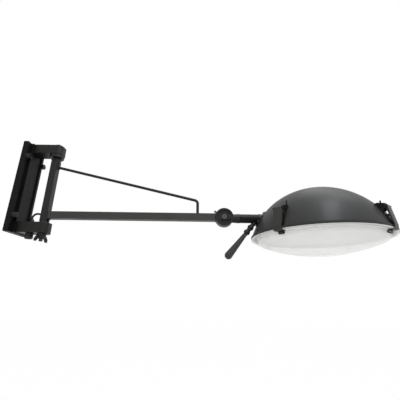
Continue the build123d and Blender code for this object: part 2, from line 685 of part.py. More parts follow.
# The knuckle is a pair of discs face to face: the far one on the arm, the near one on the head's neck
with BuildPart() as knuckle_disc:
    with Locations((KNUCKLE_X, (GAP / 2 + DISC_HALF) / 2, AXIS_Z)):
        Cylinder(DISC_R, DISC_HALF - GAP / 2, rotation=ALONG_Y)
    fillet(knuckle_disc.faces().sort_by(Axis.Y)[-1].edges(), DISC_EDGE)
    with Locations((KNUCKLE_X, DISC_HALF / 2, AXIS_Z)):
        Cylinder(KBOLT_R, DISC_HALF, rotation=ALONG_Y, mode=Mode.SUBTRACT)
knuckle_disc.part.label = "knuckle_disc"
export_step(knuckle_disc.part, "parts/knuckle_disc.step")

with BuildPart() as knuckle_bolt:
    with Locations((KNUCKLE_X, (KBOLT_SEAT + KBOLT_TAIL) / 2, AXIS_Z)):
        Cylinder(KBOLT_R, KBOLT_TAIL - KBOLT_SEAT, rotation=ALONG_Y)
    chamfer(knuckle_bolt.faces().sort_by(Axis.Y)[-1].edges(), BOLT_CHAMFER)
    with BuildSketch(Plane(origin=(KNUCKLE_X, KBOLT_SEAT, AXIS_Z), x_dir=(1, 0, 0), z_dir=(0, -1, 0))):
        RegularPolygon(KBOLT_AF / 2, 6, major_radius=False, rotation=KBOLT_TURN)
    extrude(amount=KBOLT_HEAD)
knuckle_bolt.part.label = "knuckle_bolt"
export_step(knuckle_bolt.part, "parts/knuckle_bolt.step")

LEVER_PLANE = Plane(
    origin=(KNUCKLE_X, KNUT_Y, AXIS_Z),
    x_dir=(cos(radians(LEVER_DEG)), 0, sin(radians(LEVER_DEG))),
    z_dir=(-sin(radians(LEVER_DEG)), 0, cos(radians(LEVER_DEG))),
)
with BuildPart() as knuckle_lever_nut:
    with Locations(Plane(origin=(KNUCKLE_X, KNUT_Y, AXIS_Z), z_dir=(0, 1, 0)).location):
        Cone(KBOLT_R + NUT_FOOT, KBOLT_R + NUT_NOSE, NUT_H, align=BASE)
    with BuildSketch(LEVER_PLANE) as lever_face:
        with BuildLine():
            Polyline(*LEVER, close=True)
        make_face()
        fillet(lever_face.vertices().sort_by_distance((KNUCKLE_X, KNUT_Y, AXIS_Z))[-4:], WING_ROUND)
        with Locations((-LEVER_TAIL / 2, NUT_H / 2)):
            Rectangle(LEVER_TAIL, NUT_H / 2)
    extrude(amount=LEVER_T / 2, both=True)
    with Locations((KNUCKLE_X, (KNUT_Y + KBOLT_TAIL) / 2, AXIS_Z)):
        Cylinder(KBOLT_R + RUN, KBOLT_TAIL - KNUT_Y, rotation=ALONG_Y, mode=Mode.SUBTRACT)
knuckle_lever_nut.part.label = "knuckle_lever_nut"
export_step(knuckle_lever_nut.part, "parts/knuckle_lever_nut.step")

# The head tilts on the knuckle bolt by its near disc, dished round a rib that runs on into the neck
with BuildPart() as tilt_neck:
    with Locations((KNUCKLE_X, 0, STEM_Z)):
        Cone(NECK_R, STEM_R + NECK_LIP, NECK_L, rotation=ALONG_X, align=BASE)
    with Locations((KNUCKLE_X, DISC_HALF, AXIS_Z)):
        Cylinder(DISC_R + GAP, 2 * DISC_HALF + GAP, rotation=ALONG_Y, mode=Mode.SUBTRACT)
    with Locations((KNUCKLE_X, -(GAP / 2 + DISC_HALF) / 2, AXIS_Z)):
        Cylinder(DISC_R, DISC_HALF - GAP / 2, rotation=ALONG_Y)
    with BuildSketch(Plane(origin=(KNUCKLE_X, -DISC_HALF, AXIS_Z), x_dir=(1, 0, 0), z_dir=(0, -1, 0))):
        Circle(FACE_R)
        with BuildLine():
            Polyline(
                (-BOSS_RIB_R / 2, BOSS_RIB_R),
                (DISC_R, NECK_R / 2),
                (DISC_R, -NECK_R / 2),
                (-BOSS_RIB_R / 2, -BOSS_RIB_R),
                close=True,
            )
        make_face(mode=Mode.SUBTRACT)
        Circle(BOSS_RIB_R)
    extrude(amount=-FACE_STEP, mode=Mode.SUBTRACT)
    with Locations((KNUCKLE_X, 0, AXIS_Z)):
        Cylinder(KBOLT_R + RUN, 2 * DISC_HALF, rotation=ALONG_Y, mode=Mode.SUBTRACT)
tilt_neck.part.label = "tilt_neck"
export_step(tilt_neck.part, "parts/tilt_neck.step")

with BuildPart() as stem_tube:
    with Locations((NECK_END, 0, STEM_Z)):
        Cylinder(STEM_R, STEM_L, rotation=ALONG_X, align=BASE)
        Cylinder(STEM_R - STEM_T, STEM_L, rotation=ALONG_X, align=BASE, mode=Mode.SUBTRACT)
    with Locations((SHADE_X, 0, DOME_Z)):
        Sphere(DOME_R, mode=Mode.SUBTRACT)
stem_tube.part.label = "stem_tube"
export_step(stem_tube.part, "parts/stem_tube.step")

# The saddle follows the dome; its screws stand square to the dome
SCREW_POINTS = []
for turn in SCREW_TURNS:
    screw_y = SCREW_AT * cos(radians(turn))
    screw_z = STEM_Z + SCREW_AT * sin(radians(turn)) - DOME_Z
    screw_x = -sqrt(DOME_R**2 - screw_y**2 - screw_z**2)
    SCREW_POINTS.append(
        Plane(
            origin=(SHADE_X + screw_x, screw_y, DOME_Z + screw_z),
            z_dir=(screw_x, screw_y, screw_z),
        )
    )

with BuildPart() as flange_screws:
    for place in SCREW_POINTS:
        with Locations(place.location * Pos(0, 0, -DOME_T - SCREW_NUT_H)):
            Cylinder(SCREW_R, SCREW_NUT_H + DOME_T + SADDLE_T, align=BASE)
            Cylinder(SCREW_NUT_R, SCREW_NUT_H, align=BASE)
        with Locations(place.location * Pos(0, 0, SADDLE_T)):
            Cone(SCREW_HEAD_R, SCREW_CROWN_R, SCREW_HEAD, align=BASE)
flange_screws.part.label = "flange_screws"
export_step(flange_screws.part, "parts/flange_screws.step")

with BuildPart() as saddle_flange:
    with Locations((SHADE_X, 0, DOME_Z)):
        Sphere(DOME_R + SADDLE_T)
    with Locations((SHADE_X - DOME_R, 0, STEM_Z)):
        Cylinder(SADDLE_R, DOME_R, rotation=ALONG_X, align=BASE, mode=Mode.INTERSECT)
    with Locations((SADDLE_COLLAR_X, 0, STEM_Z)):
        Cylinder(SADDLE_COLLAR_R, SHADE_X - SADDLE_COLLAR_X, rotation=ALONG_X, align=BASE)
    with Locations((SHADE_X, 0, DOME_Z)):
        Sphere(DOME_R, mode=Mode.SUBTRACT)
    with Locations((NECK_END, 0, STEM_Z)):
        Cylinder(STEM_R, STEM_L, rotation=ALONG_X, align=BASE, mode=Mode.SUBTRACT)
    add(flange_screws.part, mode=Mode.SUBTRACT)
saddle_flange.part.label = "saddle_flange"
export_step(saddle_flange.part, "parts/saddle_flange.step")

HANDLE = Plane(
    origin=(HANDLE_X, 0, STEM_Z),
    z_dir=(cos(radians(HANDLE_DEG)), 0, -sin(radians(HANDLE_DEG))),
)
with BuildPart() as handle_stud:
    with Locations(HANDLE.location):
        Cylinder(STUD_R, GRIP_AT, align=BASE)
    for bead in BEADS:
        with Locations(HANDLE.location * Pos(0, 0, bead)):
            Sphere(BEAD_R)
    with Locations((NECK_END, 0, STEM_Z)):
        Cylinder(STEM_R, STEM_L, rotation=ALONG_X, align=BASE, mode=Mode.SUBTRACT)
    with Locations(HANDLE.location * Pos(0, 0, GRIP_AT)):
        Cylinder(2 * BEAD_R, 2 * BEAD_R, align=BASE, mode=Mode.SUBTRACT)
    add(saddle_flange.part, mode=Mode.SUBTRACT)
handle_stud.part.label = "handle_stud"
export_step(handle_stud.part, "parts/handle_stud.step")

with BuildPart() as handle_grip:
    with Locations(HANDLE.location * Pos(0, 0, GRIP_AT)):
        Cone(GRIP_R0, GRIP_R1, GRIP_L, align=BASE)
    with Locations(HANDLE.location * Pos(0, 0, GRIP_END)):
        Sphere(GRIP_R1)
handle_grip.part.label = "handle_grip"
export_step(handle_grip.part, "parts/handle_grip.step")

# Lampholder and bulb lie along the stem's axis inside the dome
with BuildPart() as lamp_nipple:
    with Locations((NIPPLE_X, 0, STEM_Z)):
        Cylinder(NIPPLE_R, NIPPLE_L, rotation=ALONG_X, align=BASE)
        Cylinder(NIPPLE_R - NIPPLE_T, NIPPLE_L, rotation=ALONG_X, align=BASE, mode=Mode.SUBTRACT)
lamp_nipple.part.label = "lamp_nipple"
export_step(lamp_nipple.part, "parts/lamp_nipple.step")

with BuildPart() as nipple_nut:
    with BuildSketch(Plane.YZ.offset(STEM_END - NIPPLE_NUT_BACK)):
        with Locations((0, STEM_Z)):
            Circle(STEM_R - STEM_T)
            Circle(NIPPLE_R, mode=Mode.SUBTRACT)
    extrude(amount=NIPPLE_NUT_H)
nipple_nut.part.label = "nipple_nut"
export_step(nipple_nut.part, "parts/nipple_nut.step")

with BuildPart() as lampholder_shell:
    with Locations((HOLDER_X, 0, STEM_Z)):
        Cylinder(HOLDER_R, HOLDER_L, rotation=ALONG_X, align=BASE)
    with Locations((CORE_X, 0, STEM_Z)):
        Cylinder(HOLDER_R - HOLDER_T, HOLDER_L, rotation=ALONG_X, align=BASE, mode=Mode.SUBTRACT)
    with Locations((NIPPLE_X, 0, STEM_Z)):
        Cylinder(NIPPLE_R, NIPPLE_L, rotation=ALONG_X, align=BASE, mode=Mode.SUBTRACT)
lampholder_shell.part.label = "lampholder_shell"
export_step(lampholder_shell.part, "parts/lampholder_shell.step")

with BuildPart() as lampholder_core:
    with Locations((CORE_X, 0, STEM_Z)):
        Cylinder(HOLDER_R - HOLDER_T, CORE_L, rotation=ALONG_X, align=BASE)
    with Locations((CAP_X, 0, STEM_Z)):
        Cylinder(CAP_R + CAP_PLAY + SLEEVE_T, SLEEVE_L, rotation=ALONG_X, align=BASE)
        Cylinder(CAP_R + CAP_PLAY, SLEEVE_L, rotation=ALONG_X, align=BASE, mode=Mode.SUBTRACT)
lampholder_core.part.label = "lampholder_core"
export_step(lampholder_core.part, "parts/lampholder_core.step")

with BuildPart() as bulb_cap:
    with Locations((CAP_X, 0, STEM_Z)):
        Cylinder(CAP_R, CAP_L, rotation=ALONG_X, align=BASE)
        Cylinder(CAP_R - BULB_T, CAP_L, rotation=ALONG_X, align=BASE, mode=Mode.SUBTRACT)
        Cylinder(CAP_R, CAP_BASE, rotation=ALONG_X, align=BASE)
bulb_cap.part.label = "bulb_cap"
export_step(bulb_cap.part, "parts/bulb_cap.step")

with BuildPart() as bulb_glass:
    with Locations((BULB_MID, 0, STEM_Z)):
        Sphere(BULB_R)
    with Locations((BULB_X, 0, STEM_Z)):
        Cone(CAP_R, BULB_SHOULDER_R, BULB_SHOULDER_L, rotation=ALONG_X, align=BASE)
    with Locations((BULB_MID, 0, STEM_Z)):
        Sphere(BULB_R - BULB_T, mode=Mode.SUBTRACT)
    with Locations((BULB_X, 0, STEM_Z)):
        Cone(
            CAP_R - BULB_T,
            BULB_SHOULDER_R - BULB_T,
            BULB_SHOULDER_L,
            rotation=ALONG_X,
            align=BASE,
            mode=Mode.SUBTRACT,
        )
bulb_glass.part.label = "bulb_glass"
export_step(bulb_glass.part, "parts/bulb_glass.step")

# Glass clips, four alike
CLIP_PLANES = {}
RIVET_PLACES = {}
for name, turn in CLIPS.items():
    out = (cos(radians(turn)), sin(radians(turn)))
    CLIP_PLANES[name] = Plane(
        origin=(SHADE_X, 0, RIM_Z), x_dir=(out[0], out[1], 0), z_dir=(out[1], -out[0], 0)
    )
    RIVET_PLACES[name] = []
    for height in RIVET_W:
        reach = dome_reach(height)
        RIVET_PLACES[name].append(
            Plane(
                origin=(SHADE_X + reach * out[0], reach * out[1], RIM_Z + height),
                z_dir=(reach * out[0], reach * out[1], height + DOME_DROP),
            )
        )

RIVETS = {}
for name, places in RIVET_PLACES.items():
    with BuildPart() as clip_rivets:
        for place in places:
            with Locations(place.location * Pos(0, 0, -DOME_T - TAIL_H)):
                Cylinder(RIVET_R, DOME_T + TAIL_H + FOOT_T, align=BASE)
                Cylinder(TAIL_R, TAIL_H, align=BASE)
            with Locations(place.location * Pos(0, 0, FOOT_T)):
                Cone(RIVET_HEAD_R, RIVET_CROWN_R, RIVET_HEAD, align=BASE)
    RIVETS[name] = clip_rivets.part
    clip_rivets.part.label = f"clip_rivets_{name}"
    export_step(clip_rivets.part, f"parts/clip_rivets_{name}.step")

for name, plane in CLIP_PLANES.items():
    with BuildPart() as clip_bracket:
        with BuildSketch(plane):
            with BuildLine():
                Polyline(
                    (FOOT_R - FOOT_SINK, FOOT_W0),
                    (RIM_R, FOOT_W0),
                    (RIM_R, FOOT_W1),
                    (FOOT_R - FOOT_SINK, FOOT_W1),
                    close=True,
                )
            make_face()
        extrude(amount=EAR_V + EAR_T + FOOT_SIDE, both=True)
        with Locations((SHADE_X, 0, DOME_Z)):
            Sphere(DOME_R + FOOT_T, mode=Mode.INTERSECT)
        for side in (-1, 1):
            with BuildSketch(plane.offset(side * (EAR_V + EAR_T / 2))):
                with BuildLine():
                    Polyline(
                        (FOOT_R - FOOT_SINK, FOOT_W1),
                        (EAR_TOP_R, EAR_TOP_W),
                        (HINGE_R, HINGE_W + BARREL_R + EAR_EDGE),
                        (HINGE_R + BARREL_R + EAR_EDGE, HINGE_W),
                        (HINGE_R + EAR_EDGE, HINGE_W - BARREL_R - EAR_EDGE),
                        (FOOT_R + FOOT_T, FOOT_W1 - EAR_FOOT),
                        close=True,
                    )
                make_face()
            extrude(amount=EAR_T / 2, both=True)
        with BuildSketch(plane.offset(-EAR_V - EAR_T / 2)):
            with BuildLine():
                Polyline(
                    (EAR_TOP_R - PRONG_W / 2, EAR_TOP_W - PRONG_H / 2),
                    (EAR_TOP_R + PRONG_W / 2, EAR_TOP_W - PRONG_H / 2),
                    (EAR_TOP_R + PRONG_W / 2 - PRONG_LEAN, EAR_TOP_W + PRONG_H),
                    (EAR_TOP_R - PRONG_W / 2, EAR_TOP_W + PRONG_H),
                    close=True,
                )
            make_face()
        extrude(amount=EAR_T / 2, both=True)
        with Locations((SHADE_X, 0, DOME_Z)):
            Sphere(DOME_R, mode=Mode.SUBTRACT)
        with BuildSketch(plane):
            with Locations((HINGE_R, HINGE_W)):
                Circle(PIN_R)
        extrude(amount=EAR_V + EAR_T, both=True, mode=Mode.SUBTRACT)
        add(RIVETS[name], mode=Mode.SUBTRACT)
    clip_bracket.part.label = f"clip_bracket_{name}"
    export_step(clip_bracket.part, f"parts/clip_bracket_{name}.step")

    with BuildPart() as clip_pin:
        with BuildSketch(plane):
            with Locations((HINGE_R, HINGE_W)):
                Circle(PIN_R)
        extrude(amount=EAR_V + EAR_T + PIN_END, both=True)
    clip_pin.part.label = f"clip_pin_{name}"
    export_step(clip_pin.part, f"parts/clip_pin_{name}.step")

    with BuildPart() as clip_strap:
        with BuildSketch(plane):
            with BuildLine():
                FilletPolyline(
                    (STRAP_TOP_R, HINGE_W),
                    (KNEE_R, KNEE_W),
                    (LEG_R, STRAP_FOOT_W),
                    (RIM_R + CURL_U, STRAP_FOOT_W),
                    radius=CLIP_BEND,
                )
                offset(amount=CLIP_T, side=Side.LEFT)
            make_face()
            with Locations((HINGE_R, HINGE_W)):
                Circle(BARREL_R)
                Circle(PIN_R + RUN, mode=Mode.SUBTRACT)
        extrude(amount=CLIP_W / 2, both=True)
        with BuildSketch(plane):
            with Locations((RIM_R + CURL_U, CURL_W)):
                Circle(CURL_R)
                Circle(CURL_R - CLIP_T, mode=Mode.SUBTRACT)
        extrude(amount=CURL_L / 2, both=True)
        for side in (-1, 1):
            with BuildSketch(plane.offset(side * (CLIP_W - CLIP_T) / 2)):
                with BuildLine():
                    Polyline(
                        (strap_reach(FLANGE_W0) - FLANGE_D, FLANGE_W0),
                        (strap_reach(FLANGE_W0) + CLIP_T / 2, FLANGE_W0),
                        (strap_reach(FLANGE_W1) + CLIP_T / 2, FLANGE_W1),
                        (strap_reach(FLANGE_W1) - FLANGE_D, FLANGE_W1),
                        close=True,
                    )
                make_face()
            extrude(amount=CLIP_T / 2, both=True)
    clip_strap.part.label = f"clip_strap_{name}"
    export_step(clip_strap.part, f"parts/clip_strap_{name}.step")

with BuildPart() as shade_dome:
    with Locations((SHADE_X, 0, DOME_Z)):
        Sphere(DOME_R)
    with Locations((SHADE_X, 0, RIM_Z)):
        Cylinder(RIM_R + HEM_OUT, HEM_H, align=BASE)
    with Locations((SHADE_X, 0, DOME_Z)):
        Sphere(DOME_IN, mode=Mode.SUBTRACT)
    with Locations((SHADE_X, 0, RIM_Z - 2 * DOME_R)):
        Cylinder(2 * DOME_R, 2 * DOME_R, align=BASE, mode=Mode.SUBTRACT)
    with Locations((NIPPLE_X, 0, STEM_Z)):
        Cylinder(NIPPLE_R, NIPPLE_L, rotation=ALONG_X, align=BASE, mode=Mode.SUBTRACT)
    add(flange_screws.part, mode=Mode.SUBTRACT)
    for rivets in RIVETS.values():
        add(rivets, mode=Mode.SUBTRACT)
shade_dome.part.label = "shade_dome"
export_step(shade_dome.part, "parts/shade_dome.step")

with BuildPart() as seat_ring:
    with Locations((SHADE_X, 0, RIM_Z + GASKET_TOP)):
        Cylinder(RIM_R, SEAT_T, align=BASE)
        Cylinder(RIM_R - SEAT_IN, SEAT_T, align=BASE, mode=Mode.SUBTRACT)
    with Locations((SHADE_X, 0, DOME_Z)):
        Sphere(DOME_IN, mode=Mode.INTERSECT)
seat_ring.part.label = "seat_ring"
export_step(seat_ring.part, "parts/seat_ring.step")

with BuildPart() as glass_gasket:
    with Locations((SHADE_X, 0, RIM_Z + GLASS_TOP)):
        Cylinder(RIM_R - GASKET_OUT, GASKET_T, align=BASE)
        Cylinder(RIM_R - GASKET_IN, GASKET_T, align=BASE, mode=Mode.SUBTRACT)
glass_gasket.part.label = "glass_gasket"
export_step(glass_gasket.part, "parts/glass_gasket.step")

# The bowl is a cap under a short wall, with a round corner between them, and hangs from a flat rim
with BuildPart() as bowl_inside:
    with Locations((SHADE_X, 0, BOWL_Z)):
        Sphere(BOWL_RHO - GLASS_T)
    with Locations((SHADE_X, 0, RIM_Z + GLASS_LOW - 2 * BOWL_D)):
        Cylinder(BOWL_R - GLASS_T, 2 * BOWL_D + GLASS_T, align=BASE, mode=Mode.INTERSECT)
    inner_wall = bowl_inside.faces().filter_by(GeomType.CYLINDER)[0]
    fillet(inner_wall.edges().filter_by(GeomType.CIRCLE).sort_by(Axis.Z)[0], BOWL_CORNER - GLASS_T)

with BuildPart() as glass_bowl:
    with Locations((SHADE_X, 0, BOWL_Z)):
        Sphere(BOWL_RHO)
    with Locations((SHADE_X, 0, RIM_Z + GLASS_LOW - 2 * BOWL_D)):
        Cylinder(BOWL_R, 2 * BOWL_D, align=BASE, mode=Mode.INTERSECT)
    outer_wall = glass_bowl.faces().filter_by(GeomType.CYLINDER)[0]
    fillet(outer_wall.edges().filter_by(GeomType.CIRCLE).sort_by(Axis.Z)[0], BOWL_CORNER)
    with Locations((SHADE_X, 0, RIM_Z + GLASS_LOW)):
        Cylinder(GLASS_R, GLASS_T, align=BASE)
    add(bowl_inside.part, mode=Mode.SUBTRACT)
glass_bowl.part.label = "glass_bowl"
export_step(glass_bowl.part, "parts/glass_bowl.step")
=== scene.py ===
"""Swing-arm wall lamp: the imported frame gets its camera, lead, ironwork, finishes and light."""

import json
from math import cos, pi, radians, sin, sqrt

import bmesh
import bpy
from mathutils import Matrix, Vector


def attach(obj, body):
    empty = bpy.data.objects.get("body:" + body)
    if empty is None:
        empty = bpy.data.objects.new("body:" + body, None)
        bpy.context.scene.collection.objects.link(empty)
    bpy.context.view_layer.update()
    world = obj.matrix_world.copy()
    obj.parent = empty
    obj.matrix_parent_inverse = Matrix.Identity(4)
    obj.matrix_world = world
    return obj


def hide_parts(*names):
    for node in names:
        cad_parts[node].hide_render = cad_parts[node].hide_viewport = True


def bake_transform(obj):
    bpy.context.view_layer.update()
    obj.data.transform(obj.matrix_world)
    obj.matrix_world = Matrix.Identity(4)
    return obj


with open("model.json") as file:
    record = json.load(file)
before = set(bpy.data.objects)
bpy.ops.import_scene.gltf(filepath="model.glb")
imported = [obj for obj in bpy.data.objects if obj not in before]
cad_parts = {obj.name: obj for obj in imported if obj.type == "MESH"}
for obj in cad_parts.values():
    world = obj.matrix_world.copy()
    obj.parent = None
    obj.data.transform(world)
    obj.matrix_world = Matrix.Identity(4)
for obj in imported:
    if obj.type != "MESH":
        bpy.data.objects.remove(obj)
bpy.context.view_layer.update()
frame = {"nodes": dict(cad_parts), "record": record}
scene = bpy.context.scene
scene.view_settings.view_transform = "Standard"

# All lengths are in metres.

# Camera, fitted to edges in the photograph
CAMERA_AT = (0.5444, -0.7951, -0.2971)
CAMERA_PITCH = radians(18.68)
CAMERA_ROLL = radians(0.78)
CAMERA_LENS = 24.75
CAMERA_SENSOR = 36.0

# Bracket, pivot tube and gland
PIVOT_X = 0.0835
TUBE = 0.020
TUBE_FRONT = PIVOT_X + TUBE / 2
BRACKET_FOOT_Z = -0.139
PIVOT_THREAD_Z = BRACKET_FOOT_Z - 0.0215
PIVOT_THREAD_L = 0.0065
GLAND_NUT_AT = (0.047, 0.0, BRACKET_FOOT_Z - 0.0097)
CLAMP_X = 0.0097
CLAMP_Z = -0.0635
CLAMP_PITCH = 0.012

# Arm, stay rod and knuckle
ARM_Z = -0.0835
ARM_H = 0.0218
LUG_HALF = 0.0055
LUG_Z0 = 0.068
LUG_Z1 = 0.094
KNUCKLE_X = 0.617
KNUCKLE_THREAD_Y = 0.0245
KNUCKLE_THREAD_L = 0.0016
DISC_R = 0.027
STAY_FOOT_X = KNUCKLE_X - 0.0793
STAY_WELD_R = 0.0042
SEAM_END_Y = 0.003

# Stem, shade and bulb
STEM_Z = -0.0855
STEM_R = 0.0133
NECK_END = 0.662
STEM_END = 0.725
COLLAR_X = STEM_END - 0.006
RIM_Z = -0.142
RIM_R = 0.1935
DOME_H = 0.1475
DOME_R = (RIM_R**2 + DOME_H**2) / (2 * DOME_H)
DOME_Z = RIM_Z + DOME_H - DOME_R
SHADE_X = STEM_END + sqrt(DOME_R**2 - (STEM_Z - DOME_Z) ** 2)
DOME_CENTRE = Vector((SHADE_X, 0, DOME_Z))
FLANGE_SCREW_RING = 0.0182
FLANGE_SCREW_TURNS = (45.0, 135.0, 225.0, 315.0)
FILAMENT_AT = Vector((0.846, 0, STEM_Z))
WIRE_FOOT_X = 0.800

# Clips round the rim, by their turn in degrees, and their rivets' heights above it
CLIPS = {"front_left": 38.5, "rear_left": 128.5, "rear_right": 218.5, "front_right": 308.5}
RIVET_HEIGHTS = (0.016, 0.0315)

# Swivel lead: x and z of its route, and the height where it starts to bend
LEAD_ROUTE = (
    (0.0446, -0.1114), (0.0446, -0.091), (0.0505, -0.082),
    (0.059, -0.0785), (0.068, -0.0805), (0.0755, -0.0805),
)
LEAD_R = 0.003

# Threads, with the ridge's own radius, and ribs
THREAD = {"Radius": 0.00488, "Pitch": 0.0012, "Ridge": 0.00052}
RIBS = {"Radius": 0.0101, "Count": 22, "Height": 0.0078, "Width": 0.0008}

# A weld's ripples lie this share of its width apart
RIPPLE_SHARE = 0.34

# Turned heads: radius and height above the seat, from the axis below to the axis on top
RIVET = (
    (0, -0.0027), (0.0032, -0.0027), (0.0032, -0.0015), (0.002, -0.0015), (0.002, 0.0018),
    (0.0038, 0.002), (0.0037, 0.0028), (0.0033, 0.0039), (0.0024, 0.0049), (0.0012, 0.0054),
    (0, 0.0055),
)
FLANGE_SCREW = (
    (0, -0.0027), (0.0032, -0.0027), (0.0032, -0.0015), (0.002, -0.0015), (0.002, 0.0029),
    (0.0032, 0.003), (0.0032, 0.0039), (0.0028, 0.0047), (0.0019, 0.0052), (0, 0.0054),
)
CLAMP_SCREW = (
    (0, -0.0012), (0.0024, -0.0012), (0.0024, 0.0004), (0.002, 0.0008), (0, 0.0009),
)

# Finishes: the paint, how far below the rim the bowl's glass turns from the painted shade at its
# rim to the painted light of its full white, and how deep in the shade's wall its white and its
# black end
PAINT_TINT = (1.0, 1.02, 0.9)
PAINT_ROUGH = 0.42
GLASS_IOR = 1.45
GLASS_RIM_SHADE = 0.005
GLASS_LOW_LIGHT = 0.035
WHITE_TO = 0.0011
BLACK_TO = 0.0006
WHITE = (1.0, 1.0, 1.0)

# The noise's usual range, and how far an eased normal agrees with a face's own on flats and edges
NOISE_LOW = 0.3
NOISE_HIGH = 0.7
FLAT_AGREES = 0.995
EDGE_AGREES = 0.86

# Room and floor
ROOM_TINT = (1.0, 1.0, 0.985)
ROOM_LIGHT = 0.85
FLOOR_REACH = 9.0
FLOOR_Z = -1.15
FLOOR_GLOW = 0.97


def linked(name, data):
    """A new object in the scene."""
    made = bpy.data.objects.new(name, data)
    scene.collection.objects.link(made)
    return made


def looking(right, up, back, at):
    """The matrix of a camera or light at a point, from the three ways that it is turned."""
    return Matrix.Translation(at) @ Matrix((right, up, back)).transposed().to_4x4()


# Camera

def stand_camera():
    """The camera stands before the middle of the lamp, below it, and looks up at it."""
    ahead = Vector((0, cos(CAMERA_PITCH), sin(CAMERA_PITCH)))
    right = Vector((1, 0, 0))
    up = right.cross(ahead)
    rolled_right = cos(CAMERA_ROLL) * right + sin(CAMERA_ROLL) * up
    rolled_up = cos(CAMERA_ROLL) * up - sin(CAMERA_ROLL) * right
    lens = bpy.data.cameras.new("lamp_camera")
    lens.sensor_width = CAMERA_SENSOR
    lens.lens = CAMERA_LENS
    camera = linked("lamp_camera", lens)
    camera.matrix_world = looking(rolled_right, rolled_up, -ahead, CAMERA_AT)
    scene.camera = camera


# Shader parts

def new_finish(name):
    """A new finish: its material, node tree and shader."""
    made = bpy.data.materials.new(name)
    made.use_nodes = True
    return made, made.node_tree, made.node_tree.nodes["Principled BSDF"]


def node(tree, kind, inputs=None, **settings):
    """One node of a finish or a shape; an input takes a value or another node's output."""
    made = tree.nodes.new(kind)
    for key, value in settings.items():
        setattr(made, key, value)
    for key, value in (inputs or {}).items():
        if isinstance(value, bpy.types.NodeSocket):
            tree.links.new(value, made.inputs[key])
        else:
            made.inputs[key].default_value = value
    return made


def place(tree):
    """Where a point is on the lamp."""
    return node(tree, "ShaderNodeTexCoord").outputs["Object"]


def noise(tree, size, detail=2.0, at=None):
    """Noise with grains of about that size."""
    inputs = {"Vector": at or place(tree), "Scale": 1.0 / size, "Detail": detail}
    return node(tree, "ShaderNodeTexNoise", inputs).outputs["Fac"]


def span(tree, value, low, high, to_low, to_high):
    """value from low..high moved to to_low..to_high, clamped."""
    inputs = {
        "Value": value, "From Min": low, "From Max": high, "To Min": to_low, "To Max": to_high,
    }
    return node(tree, "ShaderNodeMapRange", inputs).outputs["Result"]


def over_noise(tree, grains, low, high):
    """low to high over the noise's usual range."""
    return span(tree, grains, NOISE_LOW, NOISE_HIGH, low, high)


def sums(tree, operation, a, b):
    """Two numbers multiplied, divided or compared."""
    return node(tree, "ShaderNodeMath", {0: a, 1: b}, operation=operation).outputs[0]


def mix_colour(tree, share, a, b):
    """Colour a where share is 0 and b where it is 1."""
    made = node(tree, "ShaderNodeMix", {0: share}, data_type="RGBA")
    for slot, value in ((6, a), (7, b)):
        if isinstance(value, bpy.types.NodeSocket):
            tree.links.new(value, made.inputs[slot])
        else:
            made.inputs[slot].default_value = (*value, 1.0)
    return made.outputs[2]


def grey(tone):
    """A colour with no hue."""
    return (tone, tone, tone)


def tinted(tone):
    """A tone of the lamp's black paint."""
    return tuple(tone * share for share in PAINT_TINT)


def bumps(tree, height, depth, strength, normal=None):
    """A surface raised by height, up to that depth."""
    inputs = {"Height": height, "Distance": depth, "Strength": strength}
    if normal is not None:
        inputs["Normal"] = normal
    return node(tree, "ShaderNodeBump", inputs).outputs["Normal"]


def eased_edges(tree, radius):
    """The surface's normal with its edges eased, and how near an edge is, from 0 to 1."""
    eased = node(tree, "ShaderNodeBevel", {"Radius": radius}, samples=6).outputs["Normal"]
    flat = node(tree, "ShaderNodeNewGeometry").outputs["Normal"]
    agree = node(tree, "ShaderNodeVectorMath", {0: eased, 1: flat}, operation="DOT_PRODUCT")
    return eased, span(tree, agree.outputs["Value"], FLAT_AGREES, EDGE_AGREES, 0.0, 1.0)


def use(tree, shader, **inputs):
    """Sets or links the shader's inputs."""
    names = {
        "colour": "Base Color", "rough": "Roughness", "normal": "Normal", "metal": "Metallic",
        "gloss": "Specular IOR Level", "ior": "IOR", "passing": "Transmission Weight",
        "cover": "Alpha", "coat": "Coat Weight", "coat_rough": "Coat Roughness",
        "glow": "Emission Color", "glow_strength": "Emission Strength",
    }
    for key, value in inputs.items():
        socket = shader.inputs[names[key]]
        if isinstance(value, bpy.types.NodeSocket):
            tree.links.new(value, socket)
        elif isinstance(value, tuple):
            socket.default_value = (*value, 1.0)
        else:
            socket.default_value = value


# Finishes

def satin_black(name, tone, gloss):
    """Satin black paint on steel: a fine peel, cloudy gloss and edges a little paler in patches."""
    made, tree, shader = new_finish(name)
    clouds = noise(tree, 0.035, detail=3.0)
    peel = noise(tree, 0.0016)
    eased, near = eased_edges(tree, 0.0007)
    patches = span(tree, noise(tree, 0.008, detail=4.0), 0.35, 0.65, 0.15, 0.8)
    # Near edges, in patches, the paint is mixed towards a paler tone.
    pale_edge_share = sums(tree, "MULTIPLY", near, patches)
    paint = mix_colour(tree, clouds, tinted(0.8 * tone), tinted(1.3 * tone))
    pale_edge_tone = tinted(0.02 + 1.5 * tone)
    use(
        tree, shader,
        colour=mix_colour(tree, pale_edge_share, paint, pale_edge_tone),
        rough=over_noise(tree, clouds, PAINT_ROUGH - 0.05, PAINT_ROUGH + 0.06),
        normal=bumps(tree, peel, depth=0.00012, strength=0.35, normal=eased),
        gloss=gloss,
    )
    return made


